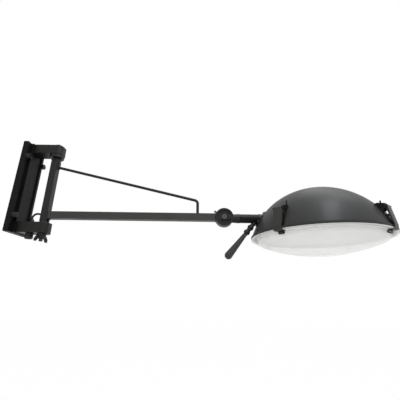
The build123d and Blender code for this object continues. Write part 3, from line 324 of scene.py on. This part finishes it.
def shade_enamel():
    """The shade: satin black outside and white enamel inside, by the distance from its centre."""
    made, tree, shader = new_finish("shade_enamel")
    at = place(tree)
    out = node(tree, "ShaderNodeVectorMath", {0: at, 1: tuple(DOME_CENTRE)}, operation="DISTANCE")
    outside = span(tree, out.outputs["Value"], DOME_R - WHITE_TO, DOME_R - BLACK_TO, 0.0, 1.0)
    clouds = noise(tree, 0.06, detail=3.0, at=at)
    peel = noise(tree, 0.0016, at=at)
    black = mix_colour(tree, clouds, (0.0195, 0.0199, 0.0187), (0.0245, 0.025, 0.0236))
    white = mix_colour(tree, clouds, (0.86, 0.86, 0.84), (0.92, 0.92, 0.9))
    use(
        tree, shader,
        colour=mix_colour(tree, outside, white, black),
        rough=over_noise(tree, clouds, 0.55, 0.62),
        normal=bumps(tree, peel, depth=0.0001, strength=0.3),
        gloss=0.2, coat=0.12, coat_rough=0.25,
    )
    return made


def dark_steel():
    """Blackened bolts, nuts, pins and rivets, with a fine tooth and paler edges."""
    made, tree, shader = new_finish("dark_steel")
    speck = noise(tree, 0.004, detail=4.0)
    eased, near = eased_edges(tree, 0.0004)
    black = mix_colour(tree, speck, (0.045, 0.045, 0.046), grey(0.1))
    use(
        tree, shader,
        # Near edges the steel is mixed towards a paler grey.
        colour=mix_colour(tree, near, black, (0.2, 0.195, 0.19)),
        rough=over_noise(tree, speck, 0.32, 0.5),
        normal=bumps(tree, noise(tree, 0.0006), depth=0.00005, strength=0.3, normal=eased),
        metal=0.85,
    )
    return made


def plated_steel():
    """Zinc-plated nipple, nut and lampholder shell."""
    made, tree, shader = new_finish("plated_steel")
    cells = node(tree, "ShaderNodeTexVoronoi", {"Vector": place(tree), "Scale": 260.0})
    spangle = cells.outputs["Distance"]
    share = span(tree, spangle, 0.0, 0.8, 0.0, 1.0)
    use(
        tree, shader,
        colour=mix_colour(tree, share, (0.42, 0.42, 0.41), (0.6, 0.6, 0.58)),
        rough=span(tree, spangle, 0.0, 0.8, 0.28, 0.42),
        normal=bumps(tree, spangle, depth=0.00004, strength=0.3),
        metal=1.0,
    )
    return made


def moulded(name, dark, pale, rough, grain=0.0008, depth=0.00006):
    """Moulded plastic, rubber or glazed ware with a fine even grain."""
    made, tree, shader = new_finish(name)
    skin = noise(tree, grain, detail=3.0)
    clouds = noise(tree, 0.012, detail=3.0)
    use(
        tree, shader,
        colour=mix_colour(tree, clouds, dark, pale),
        rough=over_noise(tree, clouds, rough - 0.05, rough + 0.05),
        normal=bumps(tree, skin, depth=depth, strength=0.4),
    )
    return made


def turned_grip():
    """The handle's turned grip, with faint lathe rings along its slanted axis."""
    made, tree, shader = new_finish("turned_grip")
    slant = (0, radians(50.8), 0)
    along = node(tree, "ShaderNodeMapping", {"Vector": place(tree), "Rotation": slant})
    rings = node(
        tree, "ShaderNodeTexWave",
        {"Vector": along.outputs["Vector"], "Scale": 190.0, "Distortion": 0.4},
        wave_type="BANDS", bands_direction="X",
    ).outputs["Fac"]
    clouds = noise(tree, 0.02, detail=3.0)
    use(
        tree, shader,
        colour=mix_colour(tree, clouds, (0.009, 0.009, 0.0084), (0.015, 0.015, 0.0139)),
        rough=over_noise(tree, clouds, 0.34, 0.44),
        normal=bumps(tree, rings, depth=0.00004, strength=0.4),
    )
    return made


def satin_glass():
    """The bowl's satin white glass: half see-through, painted shade darkening it at its rim,
    painted light brightening it lower down, and a faint painted glow.
    """
    made, tree, shader = new_finish("satin_glass")
    at = place(tree)
    clouds = noise(tree, 0.05, detail=3.0, at=at)
    height = node(tree, "ShaderNodeSeparateXYZ", {"Vector": at}).outputs["Z"]
    # Painted shade darkens the glass near the rim, under the dome's hem; painted light brightens it
    # lower down, where the floor lights it.
    low = span(tree, height, RIM_Z - GLASS_RIM_SHADE, RIM_Z - GLASS_LOW_LIGHT, 0.0, 1.0)
    shaded_rim_white = mix_colour(tree, clouds, (0.83, 0.835, 0.815), (0.86, 0.865, 0.845))
    lit_low_white = mix_colour(tree, clouds, (0.93, 0.935, 0.915), (0.96, 0.965, 0.945))
    etch = noise(tree, 0.0009)
    use(
        tree, shader,
        colour=mix_colour(tree, low, shaded_rim_white, lit_low_white),
        rough=over_noise(tree, clouds, 0.42, 0.5),
        normal=bumps(tree, etch, depth=0.00004, strength=0.3),
        # The faint emission is a painted glow: the glass shines a little though no lamp lights it.
        ior=GLASS_IOR, passing=0.12, cover=0.5, glow=(1.0, 1.0, 0.98), glow_strength=0.1,
    )
    return made


def clear_glass():
    """The bulb's clear glass, with a faint wave in its wall."""
    made, tree, shader = new_finish("clear_glass")
    wave = noise(tree, 0.02)
    use(
        tree, shader,
        colour=mix_colour(tree, wave, (0.95, 0.96, 0.96), (0.99, 0.99, 0.99)),
        rough=over_noise(tree, wave, 0.02, 0.05),
        normal=bumps(tree, wave, depth=0.0001, strength=0.2),
        ior=GLASS_IOR, passing=1.0,
    )
    return made


def cap_brass():
    """The bulb's thin brass cap, a little tarnished."""
    made, tree, shader = new_finish("cap_brass")
    tarnish = noise(tree, 0.006, detail=4.0)
    use(
        tree, shader,
        colour=mix_colour(tree, tarnish, (0.52, 0.38, 0.17), (0.72, 0.57, 0.3)),
        rough=over_noise(tree, tarnish, 0.25, 0.42),
        normal=bumps(tree, tarnish, depth=0.00003, strength=0.3),
        metal=1.0,
    )
    return made


def lead_sheath():
    """The lead's black sheath, with a fine grain in its skin."""
    made, tree, shader = new_finish("lead_sheath")
    skin = noise(tree, 0.0007, detail=3.0)
    clouds = noise(tree, 0.006, detail=3.0)
    use(
        tree, shader,
        colour=mix_colour(tree, clouds, grey(0.006), grey(0.012)),
        rough=over_noise(tree, clouds, 0.42, 0.55),
        normal=bumps(tree, skin, depth=0.00005, strength=0.5),
    )
    return made


def coat_nodes(coats):
    """Every solid of the frame gets its finish, by its record slot unless it is named here."""
    # Parts named here take copies of the black paint whose tone is painted light on the arm and
    # clip straps and painted shade on the pan, web, clip brackets and stem.
    own = {
        "shade_dome": "shade_enamel", "housing_pan": "pan_paint_painted_shade", "bracket_web": "web_paint_painted_shade",
        "upper_bracket_arm": "bracket_paint", "lower_bracket_arm": "bracket_paint",
        "swing_arm": "arm_paint_painted_light", "pivot_tube": "tube_paint", "stay_rod": "tube_paint",
        "housing_bolts": "black_paint", "pivot_wing_nut": "black_paint",
        "stem_tube": "stem_paint_painted_shade",
    }
    own.update({f"clip_strap_{name}": "strap_paint_painted_light" for name in CLIPS})
    own.update({f"clip_bracket_{name}": "web_paint_painted_shade" for name in CLIPS})
    for entry in frame["record"]["subparts"]:
        coat = coats[own.get(entry["node"], entry["material_slot"])]
        for slot in frame["nodes"][entry["node"]].material_slots:
            slot.material = coat


# Geometry node trees

def tree_start(name, takes):
    """A geometry tree with named inputs: the tree, its input node and each input's identifier."""
    tree = bpy.data.node_groups.new(name, "GeometryNodeTree")
    by_title = {
        "Geometry": "NodeSocketGeometry", "Material": "NodeSocketMaterial",
        "Head": "NodeSocketObject",
    }
    by_type = {float: "NodeSocketFloat", int: "NodeSocketInt", tuple: "NodeSocketVector"}
    keys = {}
    for title, value in takes.items():
        kind = by_title.get(title) or by_type[type(value)]
        socket = tree.interface.new_socket(title, in_out="INPUT", socket_type=kind)
        keys[title] = socket.identifier
    tree.interface.new_socket("Geometry", in_out="OUTPUT", socket_type="NodeSocketGeometry")
    return tree, tree.nodes.new("NodeGroupInput"), keys


def tree_end(tree, takes, shape, smooth=True):
    """Makes the instances real, shades them and gives them the finish."""
    real = node(tree, "GeometryNodeRealizeInstances", {"Geometry": shape}).outputs[0]
    shaded = node(
        tree, "GeometryNodeSetShadeSmooth", {"Geometry": real, "Shade Smooth": smooth}
    ).outputs[0]
    coat = node(
        tree, "GeometryNodeSetMaterial",
        {"Geometry": shaded, "Material": takes.outputs["Material"]},
    )
    tree.links.new(coat.outputs[0], tree.nodes.new("NodeGroupOutput").inputs[0])


def chance(tree, low, high, seed):
    """A number from low to high, drawn for each point."""
    inputs = {2: low, 3: high, "Seed": seed}
    return node(tree, "FunctionNodeRandomValue", inputs, data_type="FLOAT").outputs[1]


def turned_to(tree, way, axis):
    """The turn that points an axis along a way."""
    return node(tree, "FunctionNodeAlignRotationToVector", {"Vector": way}, axis=axis).outputs[0]


def copies(tree, points, shape, **inputs):
    """A shape set at every point."""
    inputs = {"Points": points, "Instance": shape, **inputs}
    return node(tree, "GeometryNodeInstanceOnPoints", inputs).outputs[0]


def moved(tree, shape, **inputs):
    """A shape scaled, turned or moved."""
    return node(tree, "GeometryNodeTransform", {"Geometry": shape, **inputs}).outputs[0]


def weld_tree():
    """A weld bead: overlapping ripples along a line."""
    tree, takes, keys = tree_start(
        "weld_bead", {"Geometry": None, "Width": 0.003, "Step": 0.001, "Seed": 1, "Material": None}
    )
    given = takes.outputs
    line = node(
        tree, "GeometryNodeResampleCurve",
        {"Curve": given["Geometry"], "Length": given["Step"]}, mode="LENGTH",
    ).outputs[0]
    turn = turned_to(tree, node(tree, "GeometryNodeInputTangent").outputs[0], "Z")
    ball = node(tree, "GeometryNodeMeshIcoSphere", {"Radius": 0.5, "Subdivisions": 2}).outputs[0]
    ripple = moved(tree, ball, Scale=(1.0, 1.0, 0.6))
    size = sums(tree, "MULTIPLY", chance(tree, 0.86, 1.1, given["Seed"]), given["Width"])
    tree_end(tree, takes, copies(tree, line, ripple, Rotation=turn, Scale=size))
    return tree, keys


def thread_tree():
    """A bolt's thread: a sharp ridge wound round an axis, then turned and set in place."""
    tree, takes, keys = tree_start(
        "bolt_thread",
        {"Geometry": None, "Radius": 0.005, "Pitch": 0.00125, "Length": 0.005, "Ridge": 0.0005,
         "Foot": (0.0, 0.0, 0.0), "Turn": (0.0, 0.0, 0.0), "Material": None},
    )
    given = takes.outputs
    wind = node(
        tree, "GeometryNodeCurveSpiral",
        {"Resolution": 40, "Rotations": sums(tree, "DIVIDE", given["Length"], given["Pitch"]),
         "Start Radius": given["Radius"], "End Radius": given["Radius"],
         "Height": given["Length"]},
    ).outputs[0]
    profile = node(
        tree, "GeometryNodeCurvePrimitiveCircle",
        {"Resolution": 4, "Radius": given["Ridge"]}, mode="RADIUS",
    ).outputs[0]
    ridge = node(
        tree, "GeometryNodeCurveToMesh",
        {"Curve": wind, "Profile Curve": profile, "Fill Caps": True},
    ).outputs[0]
    turn = node(tree, "FunctionNodeEulerToRotation", {0: given["Turn"]}).outputs[0]
    put = moved(tree, ridge, Translation=given["Foot"], Rotation=turn)
    tree_end(tree, takes, put, smooth=False)
    return tree, keys


def heads_tree():
    """Screw or rivet heads, one at each marked point, facing the way that is marked there."""
    tree, takes, keys = tree_start(
        "screw_heads", {"Geometry": None, "Head": None, "Seed": 1, "Material": None}
    )
    given = takes.outputs
    head = node(tree, "GeometryNodeObjectInfo", {"Object": given["Head"]}).outputs["Geometry"]
    facing = node(
        tree, "GeometryNodeInputNamedAttribute", {"Name": "facing"}, data_type="FLOAT_VECTOR"
    ).outputs["Attribute"]
    turn = turned_to(tree, facing, "Z")
    spin = node(tree, "ShaderNodeCombineXYZ", {"Z": chance(tree, -pi, pi, given["Seed"])})
    spin = node(tree, "FunctionNodeEulerToRotation", {0: spin.outputs[0]})
    turned = node(
        tree, "FunctionNodeRotateRotation",
        {"Rotation": turn, "Rotate By": spin.outputs[0]}, rotation_space="LOCAL",
    ).outputs[0]
    tree_end(tree, takes, copies(tree, given["Geometry"], head, Rotation=turned), smooth=False)
    return tree, keys


def ribs_tree():
    """Upright grip ribs round a nut."""
    tree, takes, keys = tree_start(
        "grip_ribs",
        {"Geometry": None, "Radius": 0.012, "Count": 20, "Height": 0.007, "Width": 0.0012,
         "Foot": (0.0, 0.0, 0.0), "Material": None},
    )
    given = takes.outputs
    ring = node(
        tree, "GeometryNodeMeshCircle",
        {"Vertices": given["Count"], "Radius": given["Radius"]}, fill_type="NONE",
    ).outputs[0]
    turn = turned_to(tree, node(tree, "GeometryNodeInputPosition").outputs[0], "X")
    rod = node(
        tree, "GeometryNodeMeshCylinder",
        {"Vertices": 10, "Radius": given["Width"], "Depth": given["Height"]},
    ).outputs["Mesh"]
    put = moved(tree, copies(tree, ring, rod, Rotation=turn), Translation=given["Foot"])
    tree_end(tree, takes, put)
    return tree, keys


# Pieces

def piece(name, data, body, slot, *stands_for):
    """A finished piece that rides on a body; the slot it is given is not used."""
    made = linked(name, data)
    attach(made, body)
    if stands_for:
        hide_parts(*stands_for)


def settled(holder, name):
    """The plain mesh of an object with its modifiers done; the object itself goes."""
    ready = holder.evaluated_get(bpy.context.evaluated_depsgraph_get())
    mesh = bpy.data.meshes.new_from_object(ready)
    mesh.name = name
    bpy.data.objects.remove(holder)
    return mesh


def grown(name, source, tree, keys, **inputs):
    """The plain mesh that a geometry tree makes of a source mesh or curve."""
    holder = linked(name + "_source", source)
    grow = holder.modifiers.new("grow", "NODES")
    grow.node_group = tree
    for title, value in inputs.items():
        grow[keys[title]] = value
    return settled(holder, name)


def new_curve(name):
    """An empty curve."""
    curve = bpy.data.curves.new(name, "CURVE")
    curve.dimensions = "3D"
    return curve


def add_run(curve, points, kind="POLY"):
    """One more run of a curve through points, straight-sided unless its kind is another."""
    run = curve.splines.new(kind)
    run.points.add(len(points) - 1)
    for spot, point in zip(run.points, points):
        spot.co = (*point, 1.0)
    return run


def only_finish(mesh, coat):
    """Gives a mesh one finish in place of any other."""
    mesh.materials.clear()
    mesh.materials.append(coat)


def around(count):
    """Angles of equal steps round a circle."""
    return [2 * pi * i / count for i in range(count)]


def ring_points(centre, axis, radius, count=48):
    """Points round a circle."""
    axis = Vector(axis).normalized()
    side = axis.orthogonal().normalized()
    other = axis.cross(side)
    return [Vector(centre) + radius * (cos(a) * side + sin(a) * other) for a in around(count)]


def swivel_lead(sheath):
    """The limp lead from bracket to pivot tube, as one smooth line."""
    curve = new_curve("swivel_lead_line")
    curve.resolution_u = 16
    run = add_run(curve, [(x, 0.0, z) for x, z in LEAD_ROUTE], "NURBS")
    run.order_u = 3
    run.use_endpoint_u = True
    holder = linked("swivel_lead_line", curve)
    line = bpy.data.meshes.new_from_object(holder)
    curve.bevel_depth = LEAD_R
    curve.bevel_resolution = 5
    curve.use_fill_caps = True
    tube = bpy.data.meshes.new_from_object(holder)
    tube.name = "swivel_lead_sheath"
    bpy.data.objects.remove(holder)
    only_finish(tube, sheath)
    tube.shade_smooth()
    lead = linked("swivel_lead_sheath", tube)
    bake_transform(lead)
    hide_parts("swivel_lead")


def weld_beads(coat):
    """Weld beads where arm, tube, lug, stay rod, knuckle and head meet."""
    tree, keys = weld_tree()
    half = TUBE / 2
    rise = ARM_H / 2
    corners = ((-half, -rise), (half, -rise), (half, rise), (-half, rise))
    square = [(TUBE_FRONT, y, ARM_Z + z) for y, z in corners]
    seam = (
        (SEAM_END_Y, -rise), (half, -rise), (half, -rise / 2),
        (half, rise / 2), (half, rise), (SEAM_END_Y, rise),
    )
    disc = [(KNUCKLE_X - sqrt(DISC_R**2 - z**2), y, ARM_Z + z) for y, z in seam]
    lug = [
        (TUBE_FRONT, -LUG_HALF, LUG_Z0), (TUBE_FRONT, LUG_HALF, LUG_Z0),
        (TUBE_FRONT, LUG_HALF, LUG_Z1), (TUBE_FRONT, -LUG_HALF, LUG_Z1),
    ]
    stay = ring_points((STAY_FOOT_X, 0, ARM_Z + rise), (0, 0, 1), STAY_WELD_R, count=20)
    stem = ring_points((NECK_END, 0, STEM_Z), (1, 0, 0), STEM_R)
    collar = ring_points((COLLAR_X, 0, STEM_Z), (1, 0, 0), STEM_R)
    beads = (
        ("arm_weld", "arm", square, 0.0034, True),
        ("knuckle_weld", "arm", disc, 0.003, False),
        ("lug_weld", "arm", lug, 0.0024, True),
        ("stay_weld", "arm", stay, 0.0022, True),
        ("stem_weld", "head", stem, 0.0012, True),
        ("collar_weld", "head", collar, 0.002, True),
    )
    for seed, (name, body, points, width, closed) in enumerate(beads, 1):
        source = new_curve(name)
        add_run(source, points).use_cyclic_u = closed
        mesh = grown(
            name, source, tree, keys,
            Width=width, Step=width * RIPPLE_SHARE, Seed=seed, Material=coat,
        )
        piece(name, mesh, body, "black_paint")


def bolt_threads(steel):
    """The threads that show past the wing nut and the lever nut."""
    tree, keys = thread_tree()
    pivot_foot = (PIVOT_X, 0.0, PIVOT_THREAD_Z)
    knuckle_foot = (KNUCKLE_X, KNUCKLE_THREAD_Y, ARM_Z)
    bolts = (
        ("pivot_thread", "wall", pivot_foot, (0.0, 0.0, 0.0), PIVOT_THREAD_L),
        ("knuckle_thread", "arm", knuckle_foot, (-pi / 2, 0.0, 0.0), KNUCKLE_THREAD_L),
    )
    for name, body, foot, turn, length in bolts:
        source = bpy.data.meshes.new(name + "_source")
        mesh = grown(
            name, source, tree, keys, Length=length, Foot=foot, Turn=turn, Material=steel, **THREAD
        )
        piece(name, mesh, body, "dark_steel")


def lathe(name, profile, steps=28):
    """A solid turned from a profile of radius and height, closed at the axis at both ends."""
    shape = bmesh.new()
    rings = []
    for radius, height in profile[1:-1]:
        spots = [(radius * cos(a), radius * sin(a), height) for a in around(steps)]
        rings.append([shape.verts.new(spot) for spot in spots])
    foot = shape.verts.new((0, 0, profile[0][1]))
    top = shape.verts.new((0, 0, profile[-1][1]))
    for i in range(steps):
        j = (i + 1) % steps
        shape.faces.new((foot, rings[0][j], rings[0][i]))
        shape.faces.new((top, rings[-1][i], rings[-1][j]))
        for low, high in zip(rings, rings[1:]):
            shape.faces.new((low[i], low[j], high[j], high[i]))
    mesh = bpy.data.meshes.new(name)
    shape.to_mesh(mesh)
    shape.free()
    return mesh


def slotted(name, profile, depth, width):
    """A turned head with a screwdriver slot cut across it."""
    reach = 4 * max(radius for radius, height in profile)
    top = profile[-1][1]
    blade = bmesh.new()
    bmesh.ops.create_cube(blade, size=1.0)
    bmesh.ops.scale(blade, vec=(reach, width, 2 * depth), verts=blade.verts)
    bmesh.ops.translate(blade, vec=(0, 0, top), verts=blade.verts)
    blade_mesh = bpy.data.meshes.new(name + "_blade")
    blade.to_mesh(blade_mesh)
    blade.free()
    holder = linked(name, lathe(name, profile))
    cutter = linked(name + "_blade", blade_mesh)
    cut = holder.modifiers.new("slot", "BOOLEAN")
    cut.object = cutter
    cut.operation = "DIFFERENCE"
    cut.solver = "EXACT"
    done = settled(holder, name + "_slotted")
    bpy.data.objects.remove(cutter)
    return done


def marked(name, spots):
    """Points, each with the way that its head faces."""
    mesh = bpy.data.meshes.new(name)
    mesh.from_pydata([tuple(point) for point, facing in spots], [], [])
    ways = mesh.attributes.new("facing", "FLOAT_VECTOR", "POINT")
    for entry, (point, facing) in zip(ways.data, spots):
        entry.vector = facing
    return mesh


def heads(name, mesh, spots, body, slot, coat, *stands_for):
    """The same head at every spot, as one piece."""
    tree, keys = heads_tree()
    model = linked(name + "_model", mesh)
    source = marked(name + "_spots", spots)
    made = grown(name, source, tree, keys, Head=model, Seed=3, Material=coat)
    bpy.data.objects.remove(model)
    piece(name, made, body, slot, *stands_for)


def clip_rivets(steel):
    """Domed rivets that hold the clips' brackets on the shade."""
    spots = []
    for turn in CLIPS.values():
        for height in RIVET_HEIGHTS:
            z = RIM_Z + height
            reach = sqrt(DOME_R**2 - (z - DOME_Z) ** 2)
            x = SHADE_X + reach * cos(radians(turn))
            point = Vector((x, reach * sin(radians(turn)), z))
            spots.append((point, (point - DOME_CENTRE).normalized()))
    nodes = [f"clip_rivets_{name}" for name in CLIPS]
    rivet = lathe("rivet_head", RIVET)
    heads("clip_rivet_heads", rivet, spots, "head", "dark_steel", steel, *nodes)


def flange_screws(steel):
    """Slotted screws through the saddle flange."""
    spots = []
    for turn in FLANGE_SCREW_TURNS:
        y = FLANGE_SCREW_RING * cos(radians(turn))
        z = STEM_Z + FLANGE_SCREW_RING * sin(radians(turn)) - DOME_Z
        way = Vector((-sqrt(DOME_R**2 - y**2 - z**2), y, z))
        spots.append((DOME_CENTRE + way, way.normalized()))
    screw = slotted("flange_screw", FLANGE_SCREW, depth=0.001, width=0.0008)
    heads("flange_screw_heads", screw, spots, "head", "dark_steel", steel, "flange_screws")


def terminal_screws(brass):
    """The terminal block's clamp screws."""
    spots = [
        (Vector((CLAMP_X, step * CLAMP_PITCH, CLAMP_Z)), (1.0, 0.0, 0.0)) for step in (-1, 0, 1)
    ]
    clamp = slotted("clamp_screw", CLAMP_SCREW, depth=0.0006, width=0.0006)
    heads("terminal_screws", clamp, spots, "wall", "cap_brass", brass)


def gland_ribs(plastic):
    """Grip ribs round the gland's nut."""
    tree, keys = ribs_tree()
    source = bpy.data.meshes.new("gland_ribs_source")
    mesh = grown(
        "gland_ribs", source, tree, keys, Foot=GLAND_NUT_AT, Material=plastic, **RIBS
    )
    piece("gland_ribs", mesh, "wall", "gland_plastic")


def filament(steel):
    """The bulb's coiled filament on its two wires."""
    steps = 60
    step_turn = 0.9
    half = 0.011
    coil_r = 0.001
    foot_spread = 0.003
    bend_spread = 0.009
    bend_back = 0.012
    wires = new_curve("bulb_filament")
    wires.bevel_depth = 0.0003
    wires.bevel_resolution = 2
    coil = []
    for step in range(steps + 1):
        turn = step * step_turn
        across = -half + 2 * half * step / steps
        coil.append(FILAMENT_AT + Vector((coil_r * cos(turn), across, coil_r * sin(turn))))
    add_run(wires, coil)
    for side, end in ((-1, coil[0]), (1, coil[-1])):
        foot = Vector((WIRE_FOOT_X, side * foot_spread, STEM_Z))
        bend = FILAMENT_AT + Vector((-bend_back, side * bend_spread, 0))
        add_run(wires, [foot, bend, end])
    holder = linked("bulb_filament", wires)
    mesh = bpy.data.meshes.new_from_object(holder)
    bpy.data.objects.remove(holder)
    only_finish(mesh, steel)
    piece("bulb_filament", mesh, "head", "plated_steel")


# Light

def seen_directly(tree):
    """1 for what the camera sees, straight, in a reflection or through glass."""
    path = node(tree, "ShaderNodeLightPath").outputs
    direct = sums(tree, "MAXIMUM", path["Is Camera Ray"], path["Is Glossy Ray"])
    return sums(tree, "MAXIMUM", direct, path["Is Transmission Ray"])


def mix_shaders(tree, share, a, b):
    """Shader a where share is 0 and b where it is 1."""
    inputs = {0: share, 1: a.outputs[0], 2: b.outputs[0]}
    return node(tree, "ShaderNodeMixShader", inputs).outputs[0]


def white_room():
    """A white room that gives soft light from all sides."""
    world = bpy.data.worlds.new("white_room")
    world.use_nodes = True
    scene.world = world
    tree = world.node_tree
    tree.nodes.clear()
    light = node(tree, "ShaderNodeBackground", {"Color": (*ROOM_TINT, 1.0), "Strength": ROOM_LIGHT})
    white = node(tree, "ShaderNodeBackground", {"Color": (*WHITE, 1.0), "Strength": 1.0})
    both = mix_shaders(tree, seen_directly(tree), light, white)
    tree.links.new(both, tree.nodes.new("ShaderNodeOutputWorld").inputs[0])


def pale_floor():
    """A wide pale floor under the lamp."""
    sides = ((-1, -1), (1, -1), (1, 1), (-1, 1))
    mesh = bpy.data.meshes.new("pale_floor")
    corners = [(x * FLOOR_REACH, y * FLOOR_REACH, FLOOR_Z) for x, y in sides]
    mesh.from_pydata(corners, [], [(0, 1, 2, 3)])
    floor = linked("pale_floor", mesh)
    made, tree, shader = new_finish("pale_floor")
    use(tree, shader, colour=mix_colour(tree, noise(tree, 0.6), grey(0.86), grey(0.9)), rough=0.8)
    glow = node(tree, "ShaderNodeEmission", {"Color": (*WHITE, 1.0), "Strength": 1.0})
    share = sums(tree, "MULTIPLY", seen_directly(tree), FLOOR_GLOW)
    both = mix_shaders(tree, share, shader, glow)
    tree.links.new(both, tree.nodes["Material Output"].inputs[0])
    mesh.materials.append(made)


def soft_box(name, at, to, width, length, power, along=(0, 0, 1), tint=WHITE):
    """A soft light that looks from one point to another, with its length turned along a line."""
    light = bpy.data.lights.new(name, "AREA")
    light.shape = "RECTANGLE"
    light.size = width
    light.size_y = length
    light.energy = power
    light.color = tint
    back = (Vector(at) - Vector(to)).normalized()
    side = Vector(along).cross(back).normalized()
    linked(name, light).matrix_world = looking(side, back.cross(side), back, at)


stand_camera()
# The black paint comes in lighter and darker copies, one tone per part: the arm and clip straps
# carry painted light, the pan, web, clip brackets and stem carry painted shade.
COATS = {
    "black_paint": satin_black("satin_black", tone=0.009, gloss=0.25),
    "strap_paint_painted_light": satin_black("strap_paint_painted_light", tone=0.02, gloss=0.3),
    "pan_paint_painted_shade": satin_black("pan_paint_painted_shade", tone=0.004, gloss=0.1),
    "web_paint_painted_shade": satin_black("web_paint_painted_shade", tone=0.005, gloss=0.1),
    "bracket_paint": satin_black("bracket_paint", tone=0.010, gloss=0.2),
    "tube_paint": satin_black("tube_paint", tone=0.010, gloss=0.25),
    "arm_paint_painted_light": satin_black("arm_paint_painted_light", tone=0.028, gloss=0.32),
    "stem_paint_painted_shade": satin_black("stem_paint_painted_shade", tone=0.006, gloss=0.14),
    "shade_enamel": shade_enamel(),
    "dark_steel": dark_steel(),
    "plated_steel": plated_steel(),
    "gland_plastic": moulded("gland_plastic", grey(0.006), grey(0.012), rough=0.5),
    "rubber": moulded("black_rubber", grey(0.008), grey(0.018), rough=0.7, grain=0.0012),
    "lead_sheath": lead_sheath(),
    "terminal_plastic": moulded(
        "terminal_plastic", (0.62, 0.6, 0.53), (0.7, 0.68, 0.62), rough=0.42
    ),
    "grip_plastic": turned_grip(),
    "holder_white": moulded(
        "glazed_white", (0.78, 0.77, 0.72), (0.84, 0.83, 0.79),
        rough=0.14, grain=0.004, depth=0.0001,
    ),
    "cap_brass": cap_brass(),
    "clear_glass": clear_glass(),
    "opal_glass": satin_glass(),
}
coat_nodes(COATS)
swivel_lead(COATS["lead_sheath"])
weld_beads(COATS["black_paint"])
bolt_threads(COATS["dark_steel"])
clip_rivets(COATS["dark_steel"])
flange_screws(COATS["dark_steel"])
terminal_screws(COATS["cap_brass"])
gland_ribs(COATS["gland_plastic"])
filament(COATS["plated_steel"])

white_room()
pale_floor()
soft_box("high_light", (1.5, 0.5, 1.9), (0.85, 0.0, -0.1), width=1.6, length=1.2, power=12.0)
soft_box(
    "strip_light", (1.06, -0.87, 1.32), (0.85, -0.17, -0.1), width=0.5, length=1.2, power=20.0,
    along=(0.32, 0.84, 0.43), tint=(0.88, 0.91, 1.0),
)
